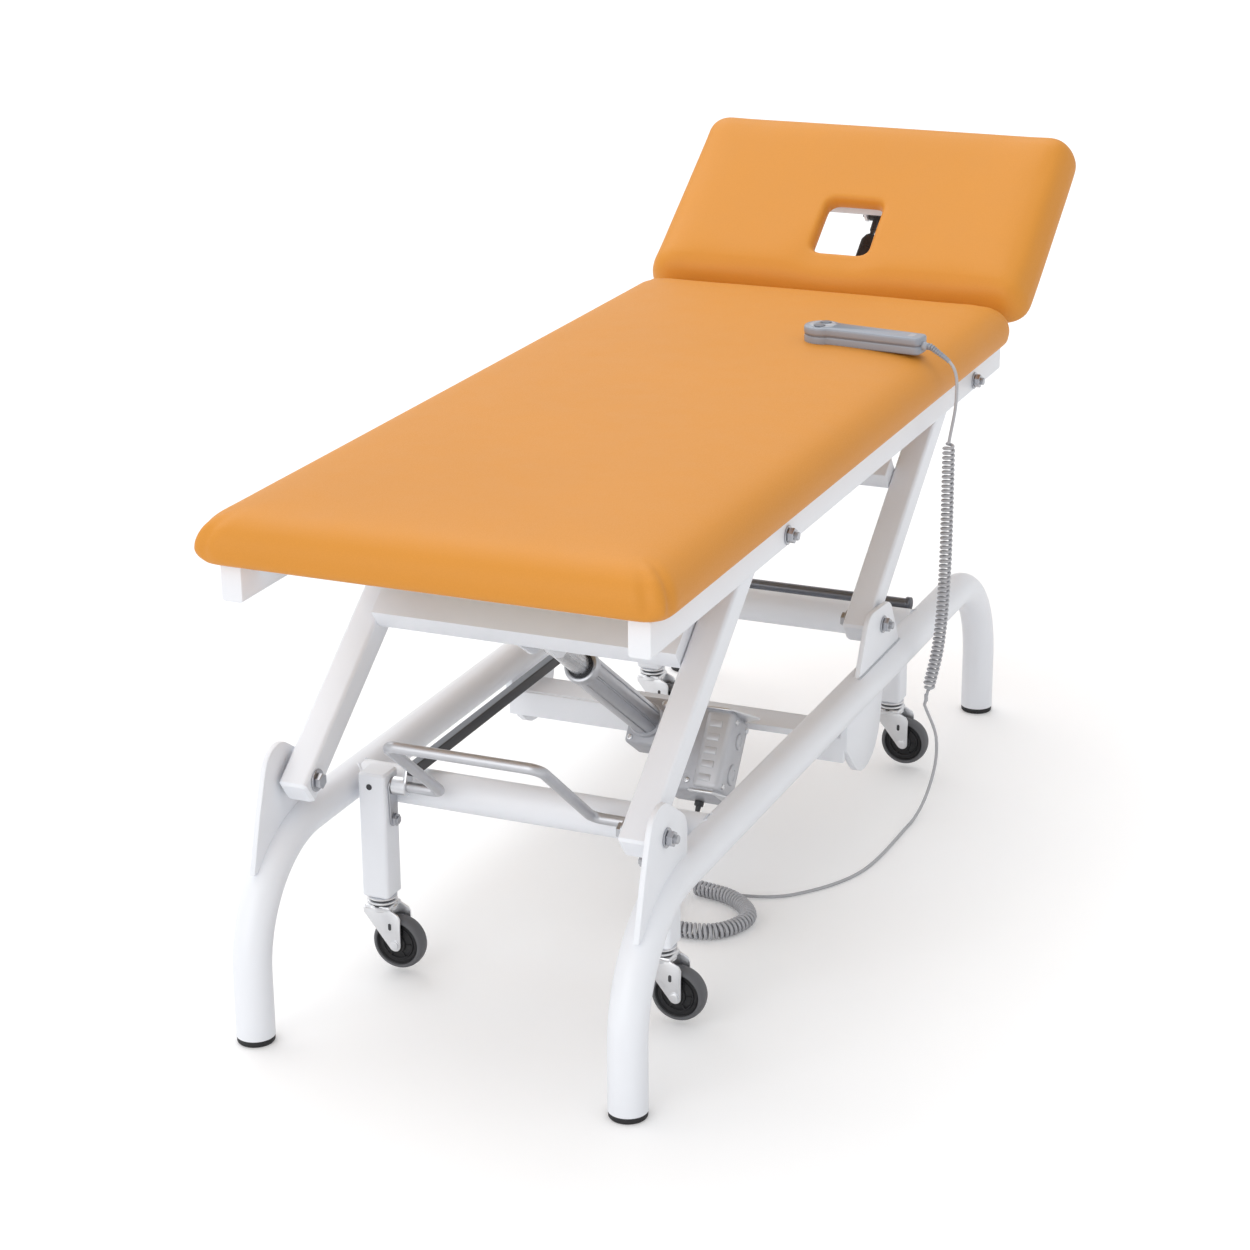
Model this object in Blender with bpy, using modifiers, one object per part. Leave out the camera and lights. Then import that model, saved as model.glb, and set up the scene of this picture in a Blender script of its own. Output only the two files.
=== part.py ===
"""Height-adjustable treatment table with a raised head section, one named object per sub-part.

Metres, +Z up, +X to the user's right, +Y from the foot end to the head end.
Every piece is laid out from the foot end of the pad, then the whole table is centred over the origin.
"""
import math

import bmesh
import bpy
import numpy as np
from mathutils import Matrix, Vector

# Driving dimensions of the table
PAD_W = 0.648
PAD_FRONT_Y = 0.034
PAD_END_Y = 1.494
PAD_T = 0.069
PAD_CORNER = 0.036
PAD_Z = 0.645
HEAD_L = 0.376
HEAD_ANGLE = math.radians(35.0)
FACE_HOLE_W = 0.094
FACE_HOLE_L = 0.114
FACE_HOLE_U = 0.128
FACE_RIM = 0.027
TUBE_R = 0.0255
TRACK_X = PAD_W / 2.0 - 0.062
TUBE_Z = 0.256
BEND_R = 0.160
FOOT_FRONT_Y = 0.051
FOOT_REAR_Y = 1.535
FOOT_CAP_H = 0.009
PIVOT_FRONT_Y = 0.158
PIVOT_REAR_Y = 0.996
PIVOT_Z = 0.330
ARM_LEN = 0.465
ARM_W = 0.040
ARM_D = 0.040
ARM_INSET = 0.006
RAIL_W = 0.030
RAIL_H = 0.050
RAIL_GAP = 0.002
RAIL_DROP = 0.002
RAIL_PIVOT_UP = 0.01684
RAIL_X = TRACK_X - ARM_INSET + RAIL_GAP + RAIL_W
ARM_ANGLE = math.asin((PAD_Z - RAIL_DROP - RAIL_H + RAIL_PIVOT_UP - PIVOT_Z) / ARM_LEN)
RAIL_FRONT_Y = 0.070
RAIL_REAR_Y = 1.512
CROSS_FRONT_Y = 0.346
CROSS_REAR_Y = 1.204
POST_W = 0.040
POST_X = TRACK_X - 0.058
WHEEL_R = 0.0375
WHEEL_W = 0.025
WHEEL_LIFT = 0.008
TRAIL = 0.025
PEDAL_R = 0.0085
BOLT_R = 0.006

# Named clearances
SEAT = 0.0003
PIN_GAP = 0.0004
PLATE = 0.008

SEG = 20
SMALL_SEG = 12


def unit(angle):
    """Return the unit vector in the YZ plane at an angle from +Y."""
    return (math.cos(angle), math.sin(angle))


for old in list(bpy.data.objects):
    bpy.data.objects.remove(old, do_unlink=True)

TABLE = bpy.data.collections.new("treatment_table")
CUTTERS = bpy.data.collections.new("cutters")
bpy.context.scene.collection.children.link(TABLE)
bpy.context.scene.collection.children.link(CUTTERS)
CUTTERS.hide_render = True


def material(name, colour, metallic=0.0, roughness=0.5):
    """Return a Principled material of one colour."""
    made = bpy.data.materials.get(name)
    if made is None:
        made = bpy.data.materials.new(name)
        made.use_nodes = True
        shader = made.node_tree.nodes["Principled BSDF"]
        shader.inputs["Base Color"].default_value = (*colour, 1.0)
        shader.inputs["Metallic"].default_value = metallic
        shader.inputs["Roughness"].default_value = roughness
        made.diffuse_color = (*colour, 1.0)
    return made


WHITE = ("powder_white", (0.86, 0.86, 0.88), 0.0, 0.35)
VINYL = ("orange_vinyl", (0.80, 0.36, 0.09), 0.0, 0.45)
ZINC = ("bright_zinc", (0.62, 0.63, 0.65), 0.9, 0.3)
STEEL = ("drawn_steel", (0.55, 0.56, 0.58), 0.9, 0.35)
RUBBER = ("black_rubber", (0.02, 0.02, 0.022), 0.0, 0.7)
TYRE = ("grey_tyre", (0.10, 0.10, 0.11), 0.0, 0.6)
ALLOY = ("cast_alloy", (0.45, 0.46, 0.48), 0.8, 0.45)
DARK = ("dark_steel", (0.06, 0.06, 0.065), 0.6, 0.4)
GREY_PLASTIC = ("grey_plastic", (0.42, 0.43, 0.46), 0.0, 0.45)
BUTTON = ("grey_button", (0.30, 0.31, 0.34), 0.0, 0.5)
CABLE = ("grey_cable", (0.36, 0.37, 0.40), 0.0, 0.5)
PLY = ("plywood", (0.55, 0.40, 0.24), 0.0, 0.7)


def add(name, bm, finish, where=None):
    """Turn a bmesh into a named object with its material."""
    bmesh.ops.remove_doubles(bm, verts=bm.verts, dist=0.000001)
    bmesh.ops.recalc_face_normals(bm, faces=bm.faces)
    mesh = bpy.data.meshes.new(name)
    bm.to_mesh(mesh)
    bm.free()
    mesh.materials.append(material(*finish))
    made = bpy.data.objects.new(name, mesh)
    (where or TABLE).objects.link(made)
    return made


def cutter(name, bm):
    """Keep a Boolean tool out of the picture."""
    made = add(name, bm, DARK, CUTTERS)
    made.hide_render = True
    made.display_type = "WIRE"
    return made


def combine(target, tool, how):
    """Join a tool to a piece or cut it away."""
    step = target.modifiers.new(tool.name, "BOOLEAN")
    step.operation = how
    step.solver = "EXACT"
    step.object = tool
    return target


def bevel(target, width, segments=2, angle=35.0):
    """Round the sharp edges of a piece."""
    step = target.modifiers.new("edge", "BEVEL")
    step.width = width
    step.segments = segments
    step.limit_method = "ANGLE"
    step.angle_limit = math.radians(angle)
    step.use_clamp_overlap = True
    return target


def box_mesh(x0, x1, y0, y1, z0, z1):
    """Return a bmesh box between two corners."""
    bm = bmesh.new()
    bmesh.ops.create_cube(bm, size=1.0)
    size = Vector((x1 - x0, y1 - y0, z1 - z0))
    mid = Vector((x0 + x1, y0 + y1, z0 + z1)) / 2.0
    bmesh.ops.scale(bm, vec=size, verts=bm.verts)
    bmesh.ops.translate(bm, vec=mid, verts=bm.verts)
    return bm


def rod_mesh(start, end, radius, segments=SEG):
    """Return a closed cylinder from one point to another."""
    start = Vector(start)
    end = Vector(end)
    axis = end - start
    bm = bmesh.new()
    bmesh.ops.create_cone(bm, cap_ends=True, segments=segments, radius1=radius, radius2=radius,
                          depth=axis.length)
    turn = Vector((0.0, 0.0, 1.0)).rotation_difference(axis.normalized()).to_matrix().to_4x4()
    bmesh.ops.transform(bm, matrix=Matrix.Translation((start + end) / 2.0) @ turn, verts=bm.verts)
    return bm


def prism_mesh(outline, x0, x1):
    """Extrude a closed YZ outline along X."""
    bm = bmesh.new()
    low = [bm.verts.new((x0, y, z)) for y, z in outline]
    high = [bm.verts.new((x1, y, z)) for y, z in outline]
    bm.faces.new(low)
    bm.faces.new(list(reversed(high)))
    for i in range(len(outline)):
        j = (i + 1) % len(outline)
        bm.faces.new((low[i], low[j], high[j], high[i]))
    return bm


def circle(centre, radius, count=SEG):
    """Return points around a circle."""
    return [(centre[0] + radius * math.cos(2.0 * math.pi * i / count),
             centre[1] + radius * math.sin(2.0 * math.pi * i / count)) for i in range(count)]


def hull(points):
    """Return the convex outline around flat points, counter-clockwise."""
    points = sorted(set((round(a, 7), round(b, 7)) for a, b in points))

    def half(run):
        kept = []
        for p in run:
            while len(kept) > 1:
                a = kept[-2]
                b = kept[-1]
                turn = (b[0] - a[0]) * (p[1] - a[1]) - (b[1] - a[1]) * (p[0] - a[0])
                if turn > 1e-12:
                    break
                kept.pop()
            kept.append(p)
        return kept[:-1]

    return half(points) + half(list(reversed(points)))


def lathe_mesh(profile, segments=SEG):
    """Turn a closed (radius, height) profile around Z."""
    bm = bmesh.new()
    rings = []
    for i in range(segments):
        a = 2.0 * math.pi * i / segments
        rings.append([bm.verts.new((r * math.cos(a), r * math.sin(a), z)) for r, z in profile])
    for i in range(segments):
        here = rings[i]
        there = rings[(i + 1) % segments]
        for k in range(len(profile)):
            n = (k + 1) % len(profile)
            bm.faces.new((here[k], here[n], there[n], there[k]))
    return bm


def sweep(name, points, radius, finish, resolution=2):
    """Run a round bar through points as one closed tube."""
    line = bpy.data.curves.new(name, "CURVE")
    line.dimensions = "3D"
    line.bevel_depth = radius
    line.bevel_resolution = resolution
    line.use_fill_caps = True
    line.twist_mode = "MINIMUM"
    spline = line.splines.new("POLY")
    spline.points.add(len(points) - 1)
    for slot, p in zip(spline.points, points):
        slot.co = (*p, 1.0)
    holder = bpy.data.objects.new(name, line)
    CUTTERS.objects.link(holder)
    bpy.context.view_layer.update()
    mesh = bpy.data.meshes.new_from_object(holder.evaluated_get(bpy.context.evaluated_depsgraph_get()))
    bpy.data.objects.remove(holder, do_unlink=True)
    bm = bmesh.new()
    bm.from_mesh(mesh)
    bpy.data.meshes.remove(mesh)
    return add(name, bm, finish)


def rounded_path(corners, radii, steps=6):
    """Return points along straight runs joined by arcs of the given radii."""
    corners = [Vector(c) for c in corners]
    out = [corners[0]]
    for i in range(1, len(corners) - 1):
        here = corners[i]
        back = (corners[i - 1] - here).normalized()
        ahead = (corners[i + 1] - here).normalized()
        half = back.angle(ahead) / 2.0
        reach = radii[i - 1] / math.tan(half)
        centre = here + (back + ahead).normalized() * (radii[i - 1] / math.sin(half))
        start = (here + back * reach - centre).normalized()
        end = (here + ahead * reach - centre).normalized()
        for k in range(steps + 1):
            out.append(centre + start.slerp(end, k / steps) * radii[i - 1])
    out.append(corners[-1])
    return out


def smooth_path(knots, count):
    """Return evenly spaced points on a smooth curve through knots."""
    knots = [np.array(k, float) for k in knots]
    ends = [2.0 * knots[0] - knots[1]] + knots + [2.0 * knots[-1] - knots[-2]]
    fine = []
    for i in range(1, len(ends) - 2):
        a, b, c, d = ends[i - 1], ends[i], ends[i + 1], ends[i + 2]
        for t in np.linspace(0.0, 1.0, 40, endpoint=False):
            fine.append(0.5 * (2.0 * b + (c - a) * t + (2.0 * a - 5.0 * b + 4.0 * c - d) * t ** 2
                               + (3.0 * b - a - 3.0 * c + d) * t ** 3))
    fine = np.array(fine + [knots[-1]])
    run = np.concatenate([[0.0], np.cumsum(np.linalg.norm(np.diff(fine, axis=0), axis=1))])
    want = np.linspace(0.0, run[-1], count)
    return np.stack([np.interp(want, run, fine[:, k]) for k in range(3)], axis=1)


def turned(bm, pivot, angle):
    """Turn a bmesh about an X axis through a YZ pivot."""
    about = Matrix.Translation((0.0, pivot[0], pivot[1])) @ Matrix.Rotation(angle, 4, "X")
    bmesh.ops.transform(bm, matrix=about, verts=bm.verts)
    return bm


# Base: two bent side tubes with welded pivot plates

LEG_TOP = TUBE_Z - BEND_R
TUBE_TOP = TUBE_Z + TUBE_R
PIVOT_FRONT = (PIVOT_FRONT_Y, PIVOT_Z)
PIVOT_REAR = (PIVOT_REAR_Y, PIVOT_Z)
PIVOT_PLATE_R = 0.032
PIVOT_PLATE_X = TRACK_X
ARM_OUT_X = PIVOT_PLATE_X - ARM_INSET
ARM_IN_X = ARM_OUT_X - ARM_W


def front_plate_outline():
    """Return the fin that follows the outside of the front bend."""
    crown = circle((PIVOT_FRONT_Y - 0.012, PIVOT_Z + 0.008), PIVOT_PLATE_R + 0.008)
    nose = circle((PIVOT_FRONT_Y - 0.034, PIVOT_Z - 0.043), 0.036)
    heel = circle((PIVOT_FRONT_Y + 0.034, PIVOT_Z - 0.018), 0.036)
    low = (FOOT_FRONT_Y + 0.018, LEG_TOP + 0.128)
    back = (PIVOT_FRONT_Y + 0.068, LEG_TOP + 0.142)
    return hull(crown + nose + heel + [low, back])


def rear_plate_outline():
    """Return the fin that stands on the straight tube."""
    crown = circle((PIVOT_REAR_Y - 0.044, PIVOT_Z), PIVOT_PLATE_R)
    heel = circle((PIVOT_REAR_Y + 0.016, PIVOT_Z - 0.004), PIVOT_PLATE_R)
    front = (PIVOT_REAR_Y - 0.113, TUBE_Z + 0.010)
    back = (PIVOT_REAR_Y + 0.088, TUBE_Z + 0.010)
    return hull(crown + heel + [front, back])


def side_tube(name, side):
    """Make one bent tube with both pivot plates welded on."""
    x = side * TRACK_X
    path = rounded_path([(x, FOOT_FRONT_Y, FOOT_CAP_H), (x, FOOT_FRONT_Y, TUBE_Z), (x, FOOT_REAR_Y, TUBE_Z),
                         (x, FOOT_REAR_Y, FOOT_CAP_H)], [BEND_R, BEND_R], steps=8)
    tube = sweep(name, path, TUBE_R, WHITE, resolution=6)
    near = side * PIVOT_PLATE_X
    far = side * (PIVOT_PLATE_X + PLATE)
    for tag, outline in (("front", front_plate_outline()), ("rear", rear_plate_outline())):
        fin = prism_mesh(outline, min(near, far), max(near, far))
        combine(tube, cutter(name + "_plate_" + tag, fin), "UNION")
    for tag, pivot in (("front", PIVOT_FRONT), ("rear", PIVOT_REAR)):
        hole = rod_mesh((near - 0.03, *pivot), (near + 0.03, *pivot), BOLT_R + PIN_GAP, SMALL_SEG)
        combine(tube, cutter(name + "_bore_" + tag, hole), "DIFFERENCE")
    return tube


for label, side in (("right", 1.0), ("left", -1.0)):
    side_tube("side_tube_" + label, side)

for end, foot_y in (("front", FOOT_FRONT_Y), ("rear", FOOT_REAR_Y)):
    for label, side in (("right", 1.0), ("left", -1.0)):
        at = side * TRACK_X
        bm = rod_mesh((at, foot_y, 0.0), (at, foot_y, FOOT_CAP_H - SEAT), TUBE_R - 0.0005)
        add("foot_cap_" + end + "_" + label, bm, RUBBER)


def cross_tube(name, y):
    """Make a round cross tube coped to the side tubes."""
    bar = add(name, rod_mesh((-TRACK_X, y, TUBE_Z), (TRACK_X, y, TUBE_Z), TUBE_R), WHITE)
    for label, side in (("right", 1.0), ("left", -1.0)):
        x = side * TRACK_X
        cope = rod_mesh((x, y - 0.06, TUBE_Z), (x, y + 0.06, TUBE_Z), TUBE_R + SEAT, 2 * SEG)
        combine(bar, cutter(name + "_cope_" + label, cope), "DIFFERENCE")
    return bar


cross_tube("front_cross_tube", CROSS_FRONT_Y)
cross_tube("rear_cross_tube", CROSS_REAR_Y)

# Middle beam hung under the side tubes, with the lift motor's bracket

BEAM_Y0 = 0.841
BEAM_Y1 = 0.902
BEAM_TOP = TUBE_Z - TUBE_R - 0.022
BEAM_LOW = BEAM_TOP - 0.040
TONGUE_X = TRACK_X + 0.004
TONGUE_W = 0.010
ACT_A = (BEAM_Y0 - 0.030, BEAM_TOP - 0.0265)
ACT_ALONG = 0.2815175
ACT_UNDER = 0.0368363
ACT_B = (PIVOT_FRONT_Y + ACT_ALONG * math.cos(ARM_ANGLE) + ACT_UNDER * math.sin(ARM_ANGLE),
         PIVOT_Z + ACT_ALONG * math.sin(ARM_ANGLE) - ACT_UNDER * math.cos(ARM_ANGLE))
ACT_DIR = math.atan2(ACT_B[1] - ACT_A[1], ACT_B[0] - ACT_A[0])
ACT_LEN = math.dist(ACT_A, ACT_B)
LUG_GAP_X = 0.030
EYE_GAP_X = 0.017
LUG_T = 0.005

bm = box_mesh(-TONGUE_X, TONGUE_X, BEAM_Y0, BEAM_Y1, BEAM_TOP - 0.010, BEAM_TOP)
beam = add("middle_beam", bm, WHITE)
for tag, x0, x1 in (("left", -TONGUE_X, 0.046), ("right", 0.200, TONGUE_X)):
    apron = box_mesh(x0, x1, BEAM_Y0 - 0.004, BEAM_Y0 + 0.004, BEAM_LOW, BEAM_TOP - 0.002)
    combine(beam, cutter("beam_apron_" + tag, apron), "UNION")
for label, side in (("right", 1.0), ("left", -1.0)):
    y_back = BEAM_Y0 + 0.162
    z_top = TUBE_Z - 0.010
    lobe = circle((BEAM_Y0 + 0.082, BEAM_LOW + 0.029), 0.068, SEG + 4)
    outline = hull(lobe + [(BEAM_Y0 - 0.004, BEAM_LOW + 0.020), (BEAM_Y0 - 0.004, z_top), (y_back, z_top)])
    inner = side * (TONGUE_X - TONGUE_W / 2.0)
    outer = side * (TONGUE_X + TONGUE_W / 2.0)
    tongue = prism_mesh(outline, min(inner, outer), max(inner, outer))
    combine(beam, cutter("beam_tongue_" + label, tongue), "UNION")
    relief = rod_mesh((side * TRACK_X, BEAM_Y0 - 0.05, TUBE_Z), (side * TRACK_X, y_back + 0.05, TUBE_Z),
                      TUBE_R + SEAT, 2 * SEG)
    combine(beam, cutter("beam_relief_" + label, relief), "DIFFERENCE")
    x0 = side * LUG_GAP_X + (0.0 if side > 0.0 else -LUG_T)
    roots = [(BEAM_Y0 + 0.002, BEAM_TOP - 0.003), (BEAM_Y0 + 0.002, BEAM_LOW + 0.003)]
    lug = hull(circle(ACT_A, 0.016, SMALL_SEG) + roots)
    combine(beam, cutter("beam_lug_" + label, prism_mesh(lug, x0, x0 + LUG_T)), "UNION")
    bore = rod_mesh((x0 - 0.01, *ACT_A), (x0 + LUG_T + 0.01, *ACT_A), BOLT_R + PIN_GAP, SMALL_SEG)
    combine(beam, cutter("beam_bore_" + label, bore), "DIFFERENCE")

# Lift arms: two leaning pairs, each with a cross bar

ARM_T0 = -0.024
ARM_T1 = ARM_LEN + 0.022
BAR_T0 = ARM_LEN / 2.0 + 0.0035
BAR_T1 = BAR_T0 + 0.036
FRONT_BAR_T1 = BAR_T0 + 0.074
BAR_E0 = 0.010
BAR_E1 = 0.042
BAR_X = ARM_IN_X - SEAT


def arm_point(pivot, t, e):
    """Return the YZ point at a distance along and across a leaning arm."""
    c, s = unit(ARM_ANGLE)
    return (pivot[0] + t * c - e * s, pivot[1] + t * s + e * c)


UPPER_FRONT = arm_point(PIVOT_FRONT, ARM_LEN, 0.0)
UPPER_REAR = arm_point(PIVOT_REAR, ARM_LEN, 0.0)

for end, pivot in (("front", PIVOT_FRONT), ("rear", PIVOT_REAR)):
    for label, side in (("right", 1.0), ("left", -1.0)):
        x0 = min(side * ARM_IN_X, side * ARM_OUT_X)
        bm = turned(box_mesh(x0, x0 + ARM_W, ARM_T0, ARM_T1, -ARM_D / 2.0, ARM_D / 2.0), pivot, ARM_ANGLE)
        arm = bevel(add("arm_" + end + "_" + label, bm, WHITE), 0.003, 1)
        for tag, t in (("low", 0.0), ("high", ARM_LEN)):
            y, z = arm_point(pivot, t, 0.0)
            hole = rod_mesh((x0 - 0.01, y, z), (x0 + ARM_W + 0.01, y, z), BOLT_R + PIN_GAP, SMALL_SEG)
            combine(arm, cutter(arm.name + "_bore_" + tag, hole), "DIFFERENCE")
    bar_end = FRONT_BAR_T1 if end == "front" else BAR_T1
    bm = turned(box_mesh(-BAR_X, BAR_X, BAR_T0, bar_end, BAR_E0, BAR_E1), pivot, ARM_ANGLE)
    add("arm_bar_" + end, bm, WHITE)

front_bar = bpy.data.objects["arm_bar_front"]
for label, side in (("right", 1.0), ("left", -1.0)):
    x0 = side * EYE_GAP_X + (0.0 if side > 0.0 else -LUG_T)
    roots = [arm_point(PIVOT_FRONT, t, BAR_E0 + 0.003) for t in (BAR_T0 + 0.003, FRONT_BAR_T1 - 0.003)]
    lug = hull(circle(ACT_B, 0.024, SMALL_SEG) + roots)
    combine(front_bar, cutter("front_bar_lug_" + label, prism_mesh(lug, x0, x0 + LUG_T)), "UNION")
    bore = rod_mesh((x0 - 0.01, *ACT_B), (x0 + LUG_T + 0.01, *ACT_B), BOLT_R, SMALL_SEG)
    combine(front_bar, cutter("front_bar_bore_" + label, bore), "DIFFERENCE")


def pivot_bolt(name, side, x_in, x_out, pivot):
    """Make a through bolt with a flanged hex head inside and a hex nut outside."""
    y, z = pivot
    bm = rod_mesh((side * (x_in - 0.002), y, z), (side * (x_out + 0.016), y, z), BOLT_R, 8)
    shank = add(name, bm, ZINC)
    parts = (("washer_in", x_in - 0.0025, x_in - SEAT, 0.015, SMALL_SEG),
             ("head", x_in - 0.010, x_in - 0.002, 0.0105, 6),
             ("washer_out", x_out + SEAT, x_out + 0.0025, 0.013, SMALL_SEG),
             ("nut", x_out + 0.002, x_out + 0.011, 0.0105, 6))
    for tag, a, b, radius, count in parts:
        disc = rod_mesh((side * a, y, z), (side * b, y, z), radius, count)
        combine(shank, cutter(name + "_" + tag, disc), "UNION")
    return shank


RAIL_IN_X = RAIL_X - RAIL_W
for end, low, high in (("front", PIVOT_FRONT, UPPER_FRONT), ("rear", PIVOT_REAR, UPPER_REAR)):
    for label, side in (("right", 1.0), ("left", -1.0)):
        pivot_bolt("lower_bolt_" + end + "_" + label, side, ARM_IN_X, PIVOT_PLATE_X + PLATE, low)
        pivot_bolt("upper_bolt_" + end + "_" + label, side, ARM_IN_X, RAIL_X, high)

# Top frame: two box rails, flat cross bars and the main pad

RAIL_TOP = PAD_Z - RAIL_DROP
RAIL_LOW = RAIL_TOP - RAIL_H
HINGE = (PAD_END_Y + 0.010, PAD_Z + 0.027)
HINGE_R = 0.005
HINGE_LUG_R = 0.0085
HEAD_U0 = 0.010
GAS_LOW = (HINGE[0] - 0.005, HINGE[1] - 0.097)
GAS_HIGH_UW = (0.262, -0.062)
GAS_R = 0.0115
GAS_BORE_R = 0.0095
GAS_ROD_R = 0.004
GAS_PIN_R = 0.004

for label, side in (("right", 1.0), ("left", -1.0)):
    x0 = min(side * RAIL_X, side * RAIL_IN_X)
    bm = box_mesh(x0, x0 + RAIL_W, RAIL_FRONT_Y, RAIL_REAR_Y, RAIL_LOW, RAIL_TOP)
    rail = bevel(add("rail_" + label, bm, WHITE), 0.0025, 1)
    lug_x = side * (RAIL_IN_X + 0.003) + (0.0 if side > 0.0 else -PLATE)
    foot = [(HINGE[0] - HINGE_LUG_R, RAIL_TOP - 0.004), (HINGE[0] + HINGE_LUG_R, RAIL_TOP - 0.004)]
    lug = hull(circle(HINGE, HINGE_LUG_R, SMALL_SEG) + foot)
    combine(rail, cutter(rail.name + "_lug", prism_mesh(lug, lug_x, lug_x + PLATE)), "UNION")
    holes = (("front", UPPER_FRONT, BOLT_R), ("rear", UPPER_REAR, BOLT_R), ("hinge", HINGE, HINGE_R))
    for tag, (y, z), radius in holes:
        bore = rod_mesh((x0 - 0.02, y, z), (x0 + RAIL_W + 0.02, y, z), radius + PIN_GAP, SMALL_SEG)
        combine(rail, cutter(rail.name + "_bore_" + tag, bore), "DIFFERENCE")

FLAT_H = 0.020
TIE_X = RAIL_IN_X - SEAT
for end, y in (("front", RAIL_FRONT_Y + 0.060), ("rear", HINGE[0] - 0.075)):
    bm = box_mesh(-TIE_X, TIE_X, y - 0.020, y + 0.020, RAIL_TOP - FLAT_H, RAIL_TOP)
    tie = add("top_tie_" + end, bm, WHITE)
    if end == "rear":
        for label, side in (("right", 1.0), ("left", -1.0)):
            x0 = side * 0.016 + (0.0 if side > 0.0 else -LUG_T)
            x1 = x0 + LUG_T
            roots = [(y - 0.016, RAIL_TOP - FLAT_H + 0.003), (y + 0.016, RAIL_TOP - FLAT_H + 0.003)]
            lug = hull(circle(GAS_LOW, 0.013, SMALL_SEG) + roots)
            combine(tie, cutter("tie_lug_" + label, prism_mesh(lug, x0, x1)), "UNION")
            bore = rod_mesh((x0 - 0.01, *GAS_LOW), (x1 + 0.01, *GAS_LOW), GAS_PIN_R + PIN_GAP, SMALL_SEG)
            combine(tie, cutter("tie_bore_" + label, bore), "DIFFERENCE")

SIDE_PROFILE = ((0.020, 0.0), (0.007, 0.006), (0.001, 0.018), (0.0, 0.028), (0.003, 0.040), (0.011, 0.050),
                (0.024, 0.0555), (0.050, 0.057))


def pad_mesh(x_half, y0, y1, height, corner):
    """Return an upholstered slab with drawn-in sides and a crowned top."""
    bm = bmesh.new()
    loops = []
    scale = height / SIDE_PROFILE[-1][1]
    layers = [(inset, rise * scale) for inset, rise in SIDE_PROFILE]
    for inset, rise in layers:
        ring = []
        radius = max(corner - inset * 0.6, 0.012)
        for sx, sy, start in ((1.0, 1.0, 0.0), (-1.0, 1.0, 0.5), (-1.0, -1.0, 1.0), (1.0, -1.0, 1.5)):
            cx = sx * (x_half - inset - radius)
            cy = (y1 - inset - radius) if sy > 0.0 else (y0 + inset + radius)
            for k in range(7):
                a = math.pi * (start + k / 12.0)
                ring.append(bm.verts.new((cx + radius * math.cos(a), cy + radius * math.sin(a), rise)))
        loops.append(ring)
    for low, high in zip(loops, loops[1:]):
        for i in range(len(low)):
            j = (i + 1) % len(low)
            bm.faces.new((low[i], low[j], high[j], high[i]))
    bm.faces.new(list(reversed(loops[0])))
    bm.faces.new(loops[-1])
    return bm


bm = pad_mesh(PAD_W / 2.0, PAD_FRONT_Y, PAD_END_Y, PAD_T, PAD_CORNER)
bmesh.ops.translate(bm, vec=(0.0, 0.0, PAD_Z), verts=bm.verts)
add("main_pad", bm, VINYL)
BOARD_X = ARM_IN_X - 0.012
board_y0 = RAIL_FRONT_Y + 0.060 + 0.020 + SEAT
board_y1 = HINGE[0] - 0.075 - 0.020 - SEAT
add("main_board", box_mesh(-BOARD_X, BOARD_X, board_y0, board_y1, PAD_Z - 0.010, PAD_Z - SEAT), PLY)

# Head section, laid out flat around its hinge and then raised

HEAD_W0 = PAD_Z - HINGE[1]
FRAME_H = 0.020
frame_top = HEAD_W0 - SEAT
frame_low = frame_top - FRAME_H
BAR_OUT_X = RAIL_IN_X - 0.011
BAR_IN_X = BAR_OUT_X - 0.030


def raised(bm):
    """Turn a piece of the head section from flat to its resting angle."""
    return turned(bm, HINGE, HEAD_ANGLE)


bm = pad_mesh(PAD_W / 2.0, HEAD_U0, HEAD_U0 + HEAD_L, PAD_T, PAD_CORNER)
bmesh.ops.translate(bm, vec=(0.0, 0.0, HEAD_W0), verts=bm.verts)
head_pad = add("head_pad", raised(bm), VINYL)
hole_u = HEAD_U0 + FACE_HOLE_U
bm = box_mesh(-FACE_HOLE_W / 2.0, FACE_HOLE_W / 2.0, hole_u - FACE_HOLE_L / 2.0, hole_u + FACE_HOLE_L / 2.0,
              HEAD_W0 - 0.03, HEAD_W0 + PAD_T + 0.03)
upright = [e for e in bm.edges if abs(e.verts[0].co.z - e.verts[1].co.z) > 0.05]
bmesh.ops.bevel(bm, geom=upright, offset=0.014, segments=4, affect="EDGES", profile=0.5)
combine(head_pad, cutter("face_hole", raised(bm)), "DIFFERENCE")
bm = box_mesh(-FACE_HOLE_W / 2.0 - 0.028, FACE_HOLE_W / 2.0 + 0.028, hole_u - FACE_HOLE_L / 2.0 - 0.005,
              hole_u + FACE_HOLE_L / 2.0 + 0.052, HEAD_W0 - 0.03, HEAD_W0 + PAD_T - FACE_RIM)
combine(head_pad, cutter("face_recess", raised(bm)), "DIFFERENCE")

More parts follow.
